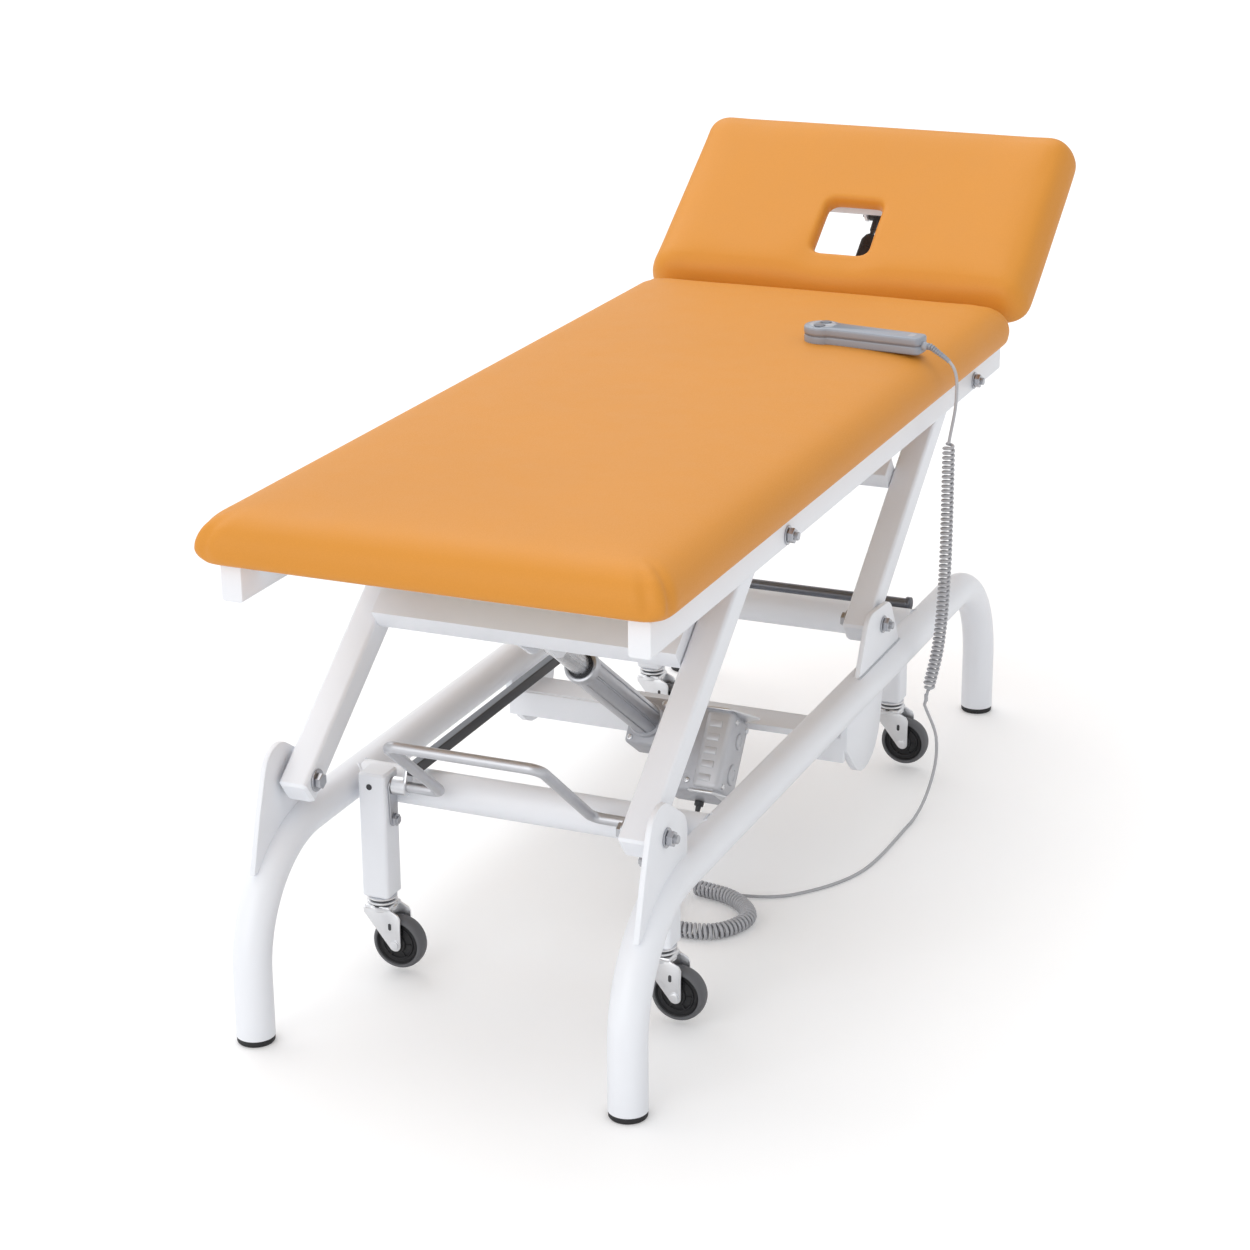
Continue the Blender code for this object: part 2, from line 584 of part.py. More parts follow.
bm = raised(box_mesh(BAR_IN_X, BAR_OUT_X, 0.022, 0.350, frame_low, frame_top))
head_frame = add("head_frame", bm, WHITE)
bm = raised(box_mesh(-BAR_OUT_X, -BAR_IN_X, 0.022, 0.350, frame_low, frame_top))
combine(head_frame, cutter("head_bar_left", bm), "UNION")
for tag, u in (("low", 0.060), ("high", GAS_HIGH_UW[0])):
    bm = box_mesh(-BAR_OUT_X + 0.005, BAR_OUT_X - 0.005, u - 0.015, u + 0.015,
                  frame_low + 0.002, frame_top - 0.002)
    combine(head_frame, cutter("head_cross_" + tag, raised(bm)), "UNION")
for label, side in (("right", 1.0), ("left", -1.0)):
    x0 = side * (BAR_OUT_X - 0.002) + (0.0 if side > 0.0 else -PLATE)
    arch = [unit(math.pi * (1.0 - k / 6.0)) for k in range(7)]
    strap = [(0.090, frame_top - 0.001), (0.090, frame_low + 0.001), (-HINGE_LUG_R, frame_low + 0.001)]
    strap += [(HINGE_LUG_R * a, HINGE_LUG_R * b) for a, b in arch] + [(HINGE_LUG_R, frame_top - 0.001)]
    combine(head_frame, cutter("head_strap_" + label, raised(prism_mesh(strap, x0, x0 + PLATE))), "UNION")
    bore = rod_mesh((x0 - 0.01, 0.0, 0.0), (x0 + PLATE + 0.01, 0.0, 0.0), HINGE_R + PIN_GAP, SMALL_SEG)
    combine(head_frame, cutter("head_bore_" + label, raised(bore)), "DIFFERENCE")
    x0 = side * 0.016 + (0.0 if side > 0.0 else -LUG_T)
    roots = [(GAS_HIGH_UW[0] - 0.012, frame_low + 0.004), (GAS_HIGH_UW[0] + 0.012, frame_low + 0.004)]
    lug = hull(circle(GAS_HIGH_UW, 0.011, SMALL_SEG) + roots)
    combine(head_frame, cutter("gas_lug_" + label, raised(prism_mesh(lug, x0, x0 + LUG_T))), "UNION")
    x1 = x0 + LUG_T
    bore = rod_mesh((x0 - 0.01, *GAS_HIGH_UW), (x1 + 0.01, *GAS_HIGH_UW), GAS_PIN_R + PIN_GAP, SMALL_SEG)
    combine(head_frame, cutter("gas_lug_bore_" + label, raised(bore)), "DIFFERENCE")

bm = rod_mesh((-RAIL_IN_X - 0.014, *HINGE), (RAIL_IN_X + 0.014, *HINGE), HINGE_R, SMALL_SEG)
add("hinge_rod", bm, ZINC)

# Gas spring between the rear tie and the head frame

def along(origin, angle, run, across):
    """Return the YZ point at a distance along and across a line."""
    c, s = unit(angle)
    return (origin[0] + run * c - across * s, origin[1] + run * s + across * c)


GAS_HIGH = along(HINGE, HEAD_ANGLE, *GAS_HIGH_UW)
GAS_DIR = math.atan2(GAS_HIGH[1] - GAS_LOW[1], GAS_HIGH[0] - GAS_LOW[0])
GAS_LEN = math.dist(GAS_LOW, GAS_HIGH)
GAS_MOUTH = 0.150
GAS_FLOOR = 0.030
GAS_GRIP_R = 0.0140

bm = turned(rod_mesh((0.0, 0.010, 0.0), (0.0, GAS_MOUTH, 0.0), GAS_R, SEG), GAS_LOW, GAS_DIR)
gas = add("gas_cylinder", bm, DARK)
eye = rod_mesh((-0.0150, *GAS_LOW), (0.0150, *GAS_LOW), 0.011, SEG)
combine(gas, cutter("gas_eye", eye), "UNION")
pin = rod_mesh((-0.026, *GAS_LOW), (0.026, *GAS_LOW), GAS_PIN_R, SMALL_SEG)
combine(gas, cutter("gas_pin", pin), "UNION")
bm = rod_mesh((0.0, GAS_FLOOR, 0.0), (0.0, GAS_MOUTH + 0.05, 0.0), GAS_BORE_R, SEG)
combine(gas, cutter("gas_bore", turned(bm, GAS_LOW, GAS_DIR)), "DIFFERENCE")
gas_in = GAS_LEN - 0.212
bm = turned(rod_mesh((0.0, gas_in, 0.0), (0.0, GAS_LEN, 0.0), GAS_ROD_R, SMALL_SEG), GAS_LOW, GAS_DIR)
gas_rod = add("gas_rod", bm, STEEL)
eye = rod_mesh((-0.0150, *GAS_HIGH), (0.0150, *GAS_HIGH), 0.009, SEG)
combine(gas_rod, cutter("gas_rod_eye", eye), "UNION")
grip = rod_mesh((0.0, GAS_LEN - 0.100, 0.0), (0.0, GAS_LEN - 0.044, 0.0), GAS_GRIP_R, SEG)
combine(gas_rod, cutter("gas_grip", turned(grip, GAS_LOW, GAS_DIR)), "UNION")
pin = rod_mesh((-0.026, *GAS_HIGH), (0.026, *GAS_HIGH), GAS_PIN_R, SMALL_SEG)
combine(gas_rod, cutter("gas_rod_pin", pin), "UNION")

# Lift motor: gear housing with outer tube, motor block and push rod

ACT_MOUTH = 0.372
ACT_TUBE_R = 0.023
ACT_BORE_R = 0.0165
ACT_ROD_R = 0.0125
GEAR_S0 = 0.020
GEAR_S1 = 0.085


def placed(bm):
    """Turn a piece from the motor's own line into the table."""
    return turned(bm, ACT_A, ACT_DIR)


gear = add("lift_gearbox", placed(box_mesh(-0.029, 0.029, GEAR_S0, GEAR_S1, -0.036, 0.036)), ALLOY)
bm = placed(rod_mesh((0.0, GEAR_S1 - 0.01, 0.0), (0.0, ACT_MOUTH, 0.0), ACT_TUBE_R, SEG))
combine(gear, cutter("gear_tube", bm), "UNION")
tail = hull(circle((0.0, 0.0), 0.014, SMALL_SEG) + [(GEAR_S0 + 0.004, -0.014), (GEAR_S0 + 0.004, 0.014)])
combine(gear, cutter("gear_tail", placed(prism_mesh(tail, -0.012, 0.012))), "UNION")
combine(gear, cutter("gear_pin", rod_mesh((-0.041, *ACT_A), (0.041, *ACT_A), BOLT_R, SMALL_SEG)), "UNION")
bm = placed(rod_mesh((0.0, GEAR_S1 + 0.012, 0.0), (0.0, ACT_MOUTH + 0.05, 0.0), ACT_BORE_R, SEG))
combine(gear, cutter("gear_bore", bm), "DIFFERENCE")

MOTOR_X0 = 0.041
MOTOR_X1 = 0.128
bm = placed(box_mesh(MOTOR_X0, MOTOR_X1, 0.012, 0.088, -0.034, 0.094))
motor = bevel(add("lift_motor", bm, ALLOY), 0.012, 2)
spigot = placed(rod_mesh((0.029 + SEAT, 0.052, 0.0), (MOTOR_X0 + 0.01, 0.052, 0.0), 0.024, SEG))
combine(motor, cutter("motor_spigot", spigot), "UNION")

ROD_IN = ACT_LEN - 0.314
bm = placed(rod_mesh((0.0, ROD_IN, 0.0), (0.0, ACT_LEN - 0.008, 0.0), ACT_ROD_R, SEG))
rod = add("lift_rod", bm, STEEL)
EYE_X = EYE_GAP_X - SEAT
combine(rod, cutter("rod_eye", rod_mesh((-EYE_X, *ACT_B), (EYE_X, *ACT_B), 0.0155, SEG)), "UNION")
bore = rod_mesh((-0.03, *ACT_B), (0.03, *ACT_B), BOLT_R + PIN_GAP, SMALL_SEG)
combine(rod, cutter("rod_eye_bore", bore), "DIFFERENCE")

# Wheel lift: foot pedal, rear shaft, link bar and four castor posts

POST_FRONT_Y = CROSS_FRONT_Y - TUBE_R - POST_W / 2.0 - SEAT
POST_REAR_Y = CROSS_REAR_Y + TUBE_R + POST_W / 2.0 + SEAT
POST_LOW = WHEEL_LIFT + 2.0 * WHEEL_R + 0.029
SHAFT_Z = TUBE_Z + 0.018
POST_TOP = SHAFT_Z + 0.019
POST_TOP_REAR = SHAFT_Z - PEDAL_R - 2.0 * SEAT
CRANK_PLATE = 0.003
SHAFT_END_X = POST_X - POST_W / 2.0 - CRANK_PLATE - SEAT
REAR_END_X = TRACK_X - TUBE_R - 0.003
PEDAL_X = POST_X - 0.096
PEDAL_TOP = (POST_FRONT_Y - 0.156, SHAFT_Z + 0.125)
LEVER_R = 0.026
LEVER_LEAN = math.radians(75.0)
LINK_X = 0.054 - POST_X
LEVER_X1 = LINK_X - 0.008 - SEAT
LEVER_X0 = LEVER_X1 - 0.0045

shaft = (POST_FRONT_Y, SHAFT_Z)
corners = [(-SHAFT_END_X, *shaft), (-PEDAL_X, *shaft), (-PEDAL_X, *PEDAL_TOP), (PEDAL_X, *PEDAL_TOP),
           (PEDAL_X, *shaft), (SHAFT_END_X, *shaft)]
bent = rounded_path(corners, [0.022, 0.024, 0.024, 0.022], steps=5)
pedal = sweep("wheel_pedal", bent, PEDAL_R, STEEL, resolution=3)
for label, side in (("right", 1.0), ("left", -1.0)):
    inner = side * (SHAFT_END_X - 0.022)
    outer = side * (SHAFT_END_X - 0.001)
    bush = rod_mesh((inner, *shaft), (outer, *shaft), 0.0125, SMALL_SEG)
    combine(pedal, cutter("pedal_bush_" + label, bush), "UNION")


def lever_outline(centre):
    """Return the short crank that carries the link bar."""
    tip = along(centre, LEVER_LEAN, LEVER_R, 0.0)
    return hull(circle(centre, 0.0115, SMALL_SEG) + circle(tip, 0.008, SMALL_SEG)), tip


front_lever, front_tip = lever_outline(shaft)
combine(pedal, cutter("pedal_lever", prism_mesh(front_lever, LEVER_X0, LEVER_X1)), "UNION")
rear = (POST_REAR_Y, SHAFT_Z)
bm = rod_mesh((-REAR_END_X, *rear), (REAR_END_X, *rear), PEDAL_R, SMALL_SEG)
rear_shaft = add("rear_shaft", bm, DARK)
for label, side in (("right", 1.0), ("left", -1.0)):
    inner = side * (POST_X + POST_W / 2.0 + 0.002)
    outer = side * (REAR_END_X - 0.002)
    clip = rod_mesh((inner, *rear), (outer, *rear), PEDAL_R + 0.0025, SMALL_SEG)
    combine(rear_shaft, cutter("shaft_clip_" + label, clip), "UNION")
rear_lever, rear_tip = lever_outline(rear)
combine(rear_shaft, cutter("rear_lever", prism_mesh(rear_lever, LEVER_X0, LEVER_X1)), "UNION")
link = add("link_bar", box_mesh(LINK_X - 0.008, LINK_X + 0.006, front_tip[0] - 0.012, rear_tip[0] + 0.012,
                                front_tip[1] - 0.007, front_tip[1] + 0.015), DARK)
bevel(link, 0.0015, 1)


def slab_mesh(outline, y0, y1):
    """Extrude a closed XZ outline along Y."""
    bm = bmesh.new()
    near = [bm.verts.new((x, y0, z)) for x, z in outline]
    far = [bm.verts.new((x, y1, z)) for x, z in outline]
    bm.faces.new(near)
    bm.faces.new(list(reversed(far)))
    for i in range(len(outline)):
        j = (i + 1) % len(outline)
        bm.faces.new((near[i], near[j], far[j], far[i]))
    return bm


def castor_post(tag, side, post_y):
    """Make one square post with its inner crank plate and stud."""
    x = side * POST_X
    h = POST_W / 2.0
    back = tag.startswith("rear")
    top = POST_TOP_REAR if back else POST_TOP
    bm = box_mesh(x - h, x + h, post_y - h, post_y + h, POST_LOW, top)
    post = bevel(add("castor_post_" + tag, bm, WHITE), 0.004, 1)
    inner = side * (POST_X - h)
    face = inner - side * CRANK_PLATE
    plate = box_mesh(min(inner, face), max(inner, face), post_y - 0.010, post_y + 0.010,
                     SHAFT_Z - 0.058, POST_TOP_REAR - 0.004 if back else SHAFT_Z + 0.010)
    combine(post, cutter("post_plate_" + tag, plate), "UNION")
    stud_z = SHAFT_Z - 0.050
    stud = rod_mesh((inner + side * 0.005, post_y, stud_z), (inner - side * 0.010, post_y, stud_z),
                    0.006, SMALL_SEG)
    combine(post, cutter("post_stud_" + tag, stud), "UNION")


def castor_fork(tag, x, post_y, hub):
    """Make one swivel fork with its axle."""
    bm = rod_mesh((x, post_y, POST_LOW - 0.022), (x, post_y, POST_LOW - SEAT), 0.021, 16)
    fork = add("castor_fork_" + tag, bm, ZINC)
    top = POST_LOW - 0.016
    leg_in = WHEEL_W / 2.0 + 0.002
    leg_out = leg_in + 0.003
    shape = hull(circle((hub[0], hub[2]), 0.010, 10)
                 + [(x - 0.019, top), (x + 0.019, top), (x + 0.030, top - 0.018)])
    for leg, y0, y1 in (("near", -leg_out, -leg_in), ("far", leg_in, leg_out)):
        bm = slab_mesh(shape, post_y + y0, post_y + y1)
        combine(fork, cutter("fork_leg_" + tag + "_" + leg, bm), "UNION")
    yoke = box_mesh(x - 0.019, x + 0.019, post_y - leg_out, post_y + leg_out,
                    POST_LOW - 0.0195, POST_LOW - 0.012)
    combine(fork, cutter("fork_yoke_" + tag, yoke), "UNION")
    reach = leg_out + 0.003
    axle = rod_mesh((hub[0], post_y - reach, hub[2]), (hub[0], post_y + reach, hub[2]), 0.005, 8)
    combine(fork, cutter("fork_axle_" + tag, axle), "UNION")


def castor_wheel(tag, hub):
    """Make one turned wheel with a dished hub."""
    w = WHEEL_W / 2.0
    half = [(0.0055, w), (0.013, w), (0.026, w - 0.004), (0.028, w - 0.001), (0.034, w - 0.001),
            (WHEEL_R, w - 0.006)]
    bm = lathe_mesh([(r, -z) for r, z in half] + list(reversed(half)), SEG - 2)
    spin = Matrix.Translation(hub) @ Matrix.Rotation(math.pi / 2.0, 4, "X")
    bmesh.ops.transform(bm, matrix=spin, verts=bm.verts)
    add("castor_wheel_" + tag, bm, TYRE)


for end, post_y in (("front", POST_FRONT_Y), ("rear", POST_REAR_Y)):
    for label, side in (("right", 1.0), ("left", -1.0)):
        hub = (side * POST_X + TRAIL, post_y, WHEEL_LIFT + WHEEL_R)
        castor_post(end + "_" + label, side, post_y)
        castor_fork(end + "_" + label, side * POST_X, post_y, hub)
        castor_wheel(end + "_" + label, hub)

# Handset with two buttons, lying on the pad

HAND_Y = 1.115
HAND_X1 = PAD_W / 2.0 - 0.037
HAND_X0 = HAND_X1 - 0.190
HAND_H = 0.026
HAND_W = 0.044
HAND_Z = PAD_Z + PAD_T + SEAT
HAND_TURN = math.radians(-6.0)
hand_mid = Vector(((HAND_X0 + HAND_X1) / 2.0, HAND_Y, 0.0))
HAND_FRAME = Matrix.Translation(hand_mid) @ Matrix.Rotation(HAND_TURN, 4, "Z")
half = (HAND_X1 - HAND_X0) / 2.0


def hand_piece(bm):
    """Place a piece of the handset on the pad."""
    bmesh.ops.transform(bm, matrix=HAND_FRAME, verts=bm.verts)
    return bm


grip = HAND_W / 2.0
tail = [(half - 0.008, grip), (half, grip - 0.010), (-half + 0.062, grip)]
outline = hull(circle((-half + 0.028, 0.0), 0.028, SEG) + tail + [(a, -b) for a, b in tail])
bm = slab_mesh(outline, 0.0, HAND_H)
stand = Matrix.Translation((0.0, 0.0, HAND_Z + HAND_H)) @ Matrix.Rotation(-math.pi / 2.0, 4, "X")
bmesh.ops.transform(bm, matrix=stand, verts=bm.verts)
hand = bevel(add("handset", hand_piece(bm), GREY_PLASTIC), 0.004, 2, angle=50.0)
hand_top = HAND_Z + HAND_H
for tag, way in (("up", -1.0), ("down", 1.0)):
    at = (-half + 0.028, way * 0.0115)
    well = rod_mesh((*at, hand_top - 0.0035), (*at, hand_top + 0.01), 0.0085, SMALL_SEG)
    combine(hand, cutter("button_well_" + tag, hand_piece(well)), "DIFFERENCE")
    cap = rod_mesh((*at, hand_top - 0.0020), (*at, hand_top + 0.0015), 0.0080, SMALL_SEG)
    add("button_" + tag, hand_piece(cap), BUTTON)

# Handset cable: hanging coil, run along the floor, loose coil and lead to the motor

WIRE_R = 0.0024
COIL_R = 0.0072
LOOSE_R = 0.0095
TURNS_UP = 32
TURNS_LOW = 24
PER_TURN = 8


def coil_points(spine, turns, radius):
    """Wind a helix around a spine of evenly spaced points."""
    count = turns * PER_TURN
    run = np.linspace(0.0, len(spine) - 1.0, count + 1)
    base = np.stack([np.interp(run, np.arange(len(spine)), spine[:, k]) for k in range(3)], axis=1)
    ahead = np.gradient(base, axis=0)
    ahead /= np.linalg.norm(ahead, axis=1)[:, None]
    side = np.cross(ahead[0], (0.31, 0.42, 0.85))
    out = []
    for i in range(count + 1):
        side = side - ahead[i] * np.dot(side, ahead[i])
        side /= np.linalg.norm(side)
        up = np.cross(ahead[i], side)
        a = 2.0 * math.pi * i / PER_TURN
        grow = min(1.0, i / PER_TURN, (count - i) / PER_TURN)
        out.append(base[i] + radius * grow * (side * math.cos(a) + up * math.sin(a)))
    return np.array(out)


def least_gap(points, turns_apart=0.6):
    """Return the least clear distance between turns of a coil."""
    skip = int(PER_TURN * turns_apart)
    best = 1.0
    for i in range(len(points)):
        for j in range(i + skip, min(i + 5 * PER_TURN, len(points))):
            best = min(best, float(np.linalg.norm(points[i] - points[j])))
    return best - 2.0 * WIRE_R


def corner_of(frame, point):
    """Return a handset point in table coordinates."""
    return np.array(frame @ Vector(point))


exit_at = corner_of(HAND_FRAME, (half + SEAT, 0.0, HAND_Z + 0.012))
out_at = corner_of(HAND_FRAME, (half + 0.012, 0.0, HAND_Z + 0.012))
EDGE_X = PAD_W / 2.0 + 0.016
COIL_TOP = PAD_Z - 0.055
COIL_LOW = 0.200
lead = smooth_path([out_at, (EDGE_X - 0.004, 1.096, PAD_Z + 0.055), (EDGE_X + 0.002, 1.093, PAD_Z + 0.007),
                    (EDGE_X - 0.006, 1.090, COIL_TOP)], 16)
hang = smooth_path([(EDGE_X - 0.006, 1.090, COIL_TOP), (EDGE_X - 0.006, 1.090, 0.40),
                    (EDGE_X - 0.012, 1.089, 0.28), (EDGE_X - 0.026, 1.086, COIL_LOW)], 60)
wound = coil_points(hang, TURNS_UP, COIL_R)
tail_dir = (hang[-1] - hang[-3]) / np.linalg.norm(hang[-1] - hang[-3])
join_up = hang[-1] + tail_dir * 0.012
upper = np.concatenate([[exit_at], lead[:-1], wound, [join_up]])
sweep("cable_upper", [tuple(p) for p in upper], WIRE_R, CABLE, resolution=1)
print("cable_upper least gap mm", round(least_gap(wound) * 1000.0, 2))

FLOOR = WIRE_R + 0.0006
LOOSE_Z = LOOSE_R + FLOOR
PLUG_GAP = 0.0030
start_low = join_up + tail_dir * SEAT
motor_foot = along(ACT_A, ACT_DIR, 0.030, 0.094)
down = np.array([0.0, math.cos(ACT_DIR + math.pi / 2.0), math.sin(ACT_DIR + math.pi / 2.0)])
plug = np.array([0.085, *motor_foot]) + down * PLUG_GAP
run_floor = smooth_path([start_low + tail_dir * 0.012, (EDGE_X - 0.020, 1.118, 0.110),
                         (EDGE_X - 0.024, 1.112, 0.045), (EDGE_X - 0.031, 1.036, FLOOR),
                         (TRACK_X + 0.035, 0.838, FLOOR), (TRACK_X - 0.030, 0.725, FLOOR),
                         (TRACK_X - 0.107, 0.686, 0.006), (0.098, 0.678, LOOSE_Z)], 40)
run_floor[:, 2] = np.maximum(run_floor[:, 2], FLOOR)
loop = smooth_path([(0.098, 0.678, LOOSE_Z), (0.165, 0.661, LOOSE_Z), (0.206, 0.612, LOOSE_Z),
                    (0.183, 0.555, LOOSE_Z), (0.124, 0.542, LOOSE_Z), (0.082, 0.581, LOOSE_Z),
                    (0.080, 0.632, LOOSE_Z + 0.002)], 80)
loose = coil_points(loop, TURNS_LOW, LOOSE_R)
rise = smooth_path([(0.080, 0.632, LOOSE_Z + 0.002), (0.082, 0.672, 0.030), plug + down * 0.030,
                    plug + down * 0.010], 10)
lower = np.concatenate([[start_low], run_floor[:-1], loose, rise[1:], [plug]])
sweep("cable_lower", [tuple(p) for p in lower], WIRE_R, CABLE, resolution=1)
print("cable_lower least gap mm", round(least_gap(loose) * 1000.0, 2))
print("cable lengths m", round(float(np.linalg.norm(np.diff(upper, axis=0), axis=1).sum()), 3),
      round(float(np.linalg.norm(np.diff(lower, axis=0), axis=1).sum()), 3))

# Centre the table over the origin

bpy.context.view_layer.update()
graph = bpy.context.evaluated_depsgraph_get()
span = []
for piece in TABLE.objects:
    if not piece.name.startswith("cable"):
        shown = piece.evaluated_get(graph).to_mesh()
        ys = [v.co.y for v in shown.vertices]
        span += [min(ys), max(ys)]
        piece.evaluated_get(graph).to_mesh_clear()
SHIFT = -(min(span) + max(span)) / 2.0
for made in list(TABLE.objects) + list(CUTTERS.objects):
    made.data.transform(Matrix.Translation((0.0, SHIFT, 0.0)))
print("shift", round(SHIFT, 5), "length", round(max(span) - min(span), 4))
PRINTED = {"pivot_front": PIVOT_FRONT, "pivot_rear": PIVOT_REAR, "upper_front": UPPER_FRONT,
           "upper_rear": UPPER_REAR, "hinge": HINGE, "gas_low": GAS_LOW, "gas_high": GAS_HIGH,
           "act_a": ACT_A, "act_b": ACT_B, "shaft_front": shaft, "shaft_rear": rear}
for tag, (y, z) in PRINTED.items():
    print(tag, round(y + SHIFT, 5), round(z, 5))
print("posts y", round(POST_FRONT_Y + SHIFT, 5), round(POST_REAR_Y + SHIFT, 5))
print("lift direction deg", round(math.degrees(ACT_DIR), 3), "length", round(ACT_LEN, 5))
print("gas direction deg", round(math.degrees(GAS_DIR), 3), "length", round(GAS_LEN, 5))
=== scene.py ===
"""Looks of the height-adjustable treatment table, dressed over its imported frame.

Metres, +Z up, +Y from the foot end to the head end, +X to the side the handset's cable hangs on.
"""
import logging
import math
from dataclasses import dataclass
from enum import Enum
from typing import Any, Iterable, Sequence

import bmesh
import bpy
import numpy as np
from mathutils import Matrix, Vector


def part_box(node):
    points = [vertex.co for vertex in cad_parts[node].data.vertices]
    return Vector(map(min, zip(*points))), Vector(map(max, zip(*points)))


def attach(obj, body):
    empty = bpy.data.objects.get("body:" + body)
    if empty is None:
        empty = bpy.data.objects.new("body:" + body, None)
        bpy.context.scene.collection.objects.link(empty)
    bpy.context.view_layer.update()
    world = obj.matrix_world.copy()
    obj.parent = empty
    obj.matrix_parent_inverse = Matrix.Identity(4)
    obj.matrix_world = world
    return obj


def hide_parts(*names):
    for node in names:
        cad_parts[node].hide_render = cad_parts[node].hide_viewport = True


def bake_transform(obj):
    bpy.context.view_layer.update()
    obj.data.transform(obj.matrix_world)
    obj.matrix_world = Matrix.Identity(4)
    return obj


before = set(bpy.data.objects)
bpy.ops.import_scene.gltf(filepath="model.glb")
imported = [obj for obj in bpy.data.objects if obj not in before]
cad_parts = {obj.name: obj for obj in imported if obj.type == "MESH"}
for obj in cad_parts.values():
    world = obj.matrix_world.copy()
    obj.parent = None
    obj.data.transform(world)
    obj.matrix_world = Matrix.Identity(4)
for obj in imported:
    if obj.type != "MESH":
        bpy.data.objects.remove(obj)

LOG = logging.getLogger("treatment_table")
Point = tuple[float, float, float]
Flat = tuple[float, float]
Colour = tuple[float, float, float]

SHIFT = -0.92564


def lay(y: float) -> float:
    """Return the frame's Y of a length measured from the pad's foot end."""
    return y + SHIFT


PIVOTS: tuple[Flat, Flat] = ((lay(0.158), 0.330), (lay(0.996), 0.330))
HINGE: Flat = (0.57836, 0.672)
LIFT_FOOT: Flat = (lay(0.811), 0.182)
LIFT_ANGLE = math.radians(144.65)
HANDSET_AT: Point = (0.192, lay(1.115), 0.7143)
HANDSET_TURN = math.radians(-6.0)
HANDSET_HALF = 0.095
QUARTER = math.pi / 2.0
MERGE = 1e-7
CAD_MERGE = 1e-6
CAD_FLAT = math.radians(0.6)
SEAT = 0.0003
UPRIGHT = Matrix(((0.0, 1.0, 0.0, 0.0), (0.0, 0.0, 1.0, 0.0), (1.0, 0.0, 0.0, 0.0), (0.0, 0.0, 0.0, 1.0)))
SIDEWAYS = Matrix(((0.0, 1.0, 0.0, 0.0), (1.0, 0.0, 0.0, 0.0), (0.0, 0.0, 1.0, 0.0), (0.0, 0.0, 0.0, 1.0)))


class Slot(Enum):
    """Material slots of the record."""

    WHITE = "powder_white"
    VINYL = "orange_vinyl"
    ZINC = "bright_zinc"
    STEEL = "drawn_steel"
    RUBBER = "black_rubber"
    TYRE = "grey_tyre"
    ALLOY = "cast_alloy"
    DARK = "dark_steel"
    PLASTIC = "grey_plastic"
    BUTTON = "grey_button"
    CABLE = "grey_cable"
    PLY = "plywood"


class End(Enum):
    """The two ends of the table, as its pieces are named."""

    FRONT = "front"
    REAR = "rear"


class Side(Enum):
    """The two sides of the table, with the sign of their X."""

    RIGHT = 1.0
    LEFT = -1.0

    @property
    def label(self) -> str:
        """Return the side's word in a piece's name."""
        return self.name.lower()


CORNERS = {end.value + "_" + side.label: (end, side) for end in End for side in Side}


class Wire:
    """A shader socket that can stand in plain arithmetic."""

    def __init__(self, shade: "Shade", socket: bpy.types.NodeSocket) -> None:
        """Keep the shade that owns the socket, and the socket."""
        self.shade = shade
        self.socket = socket

    def _math(self, operation: str, first: Any, second: Any) -> "Wire":
        """Return the value of one Math node over two wires or numbers."""
        made = self.shade.node("ShaderNodeMath", {"operation": operation}, {0: first, 1: second})
        return Wire(self.shade, made.outputs[0])

    def __add__(self, other: Any) -> "Wire":
        """Add another value."""
        return self._math("ADD", self, other)

    def __radd__(self, other: Any) -> "Wire":
        """Add to another value."""
        return self._math("ADD", other, self)

    def __sub__(self, other: Any) -> "Wire":
        """Take another value away."""
        return self._math("SUBTRACT", self, other)

    def __rsub__(self, other: Any) -> "Wire":
        """Take this away from another value."""
        return self._math("SUBTRACT", other, self)

    def __mul__(self, other: Any) -> "Wire":
        """Multiply by another value."""
        return self._math("MULTIPLY", self, other)

    def __rmul__(self, other: Any) -> "Wire":
        """Multiply another value by this."""
        return self._math("MULTIPLY", other, self)

    def __truediv__(self, other: Any) -> "Wire":
        """Divide by another value."""
        return self._math("DIVIDE", self, other)

    def __rtruediv__(self, other: Any) -> "Wire":
        """Divide another value by this."""
        return self._math("DIVIDE", other, self)

    def __pow__(self, other: Any) -> "Wire":
        """Raise to a power."""
        return self._math("POWER", self, other)

    def above(self, edge: float) -> "Wire":
        """Return 1 where the value is over an edge."""
        return self._math("GREATER_THAN", self, edge)


def feed(tree: bpy.types.NodeTree, socket: bpy.types.NodeSocket, value: Any) -> None:
    """Give a socket a wire, another socket or a plain value.

    Args:
        tree: The tree that holds the socket.
        socket: The socket to fill.
        value: What it gets.
    """
    if isinstance(value, Wire):
        value = value.socket
    if isinstance(value, bpy.types.NodeSocket):
        tree.links.new(value, socket)
    elif isinstance(value, tuple) and len(value) == 3 and socket.type == "RGBA":
        socket.default_value = (*value, 1.0)
    else:
        socket.default_value = value


def add_node(tree: bpy.types.NodeTree, kind: str, settings: dict[str, Any] | None = None,
             inputs: dict[Any, Any] | None = None) -> bpy.types.Node:
    """Add a node to any tree.

    Args:
        tree: The tree.
        kind: The node's type.
        settings: Its own properties.
        inputs: Values, wires or sockets for its inputs, by name or number.

    Returns:
        The new node.
    """
    made = tree.nodes.new(kind)
    for key, value in (settings or {}).items():
        setattr(made, key, value)
    for key, value in (inputs or {}).items():
        feed(tree, made.inputs[key], value)
    return made


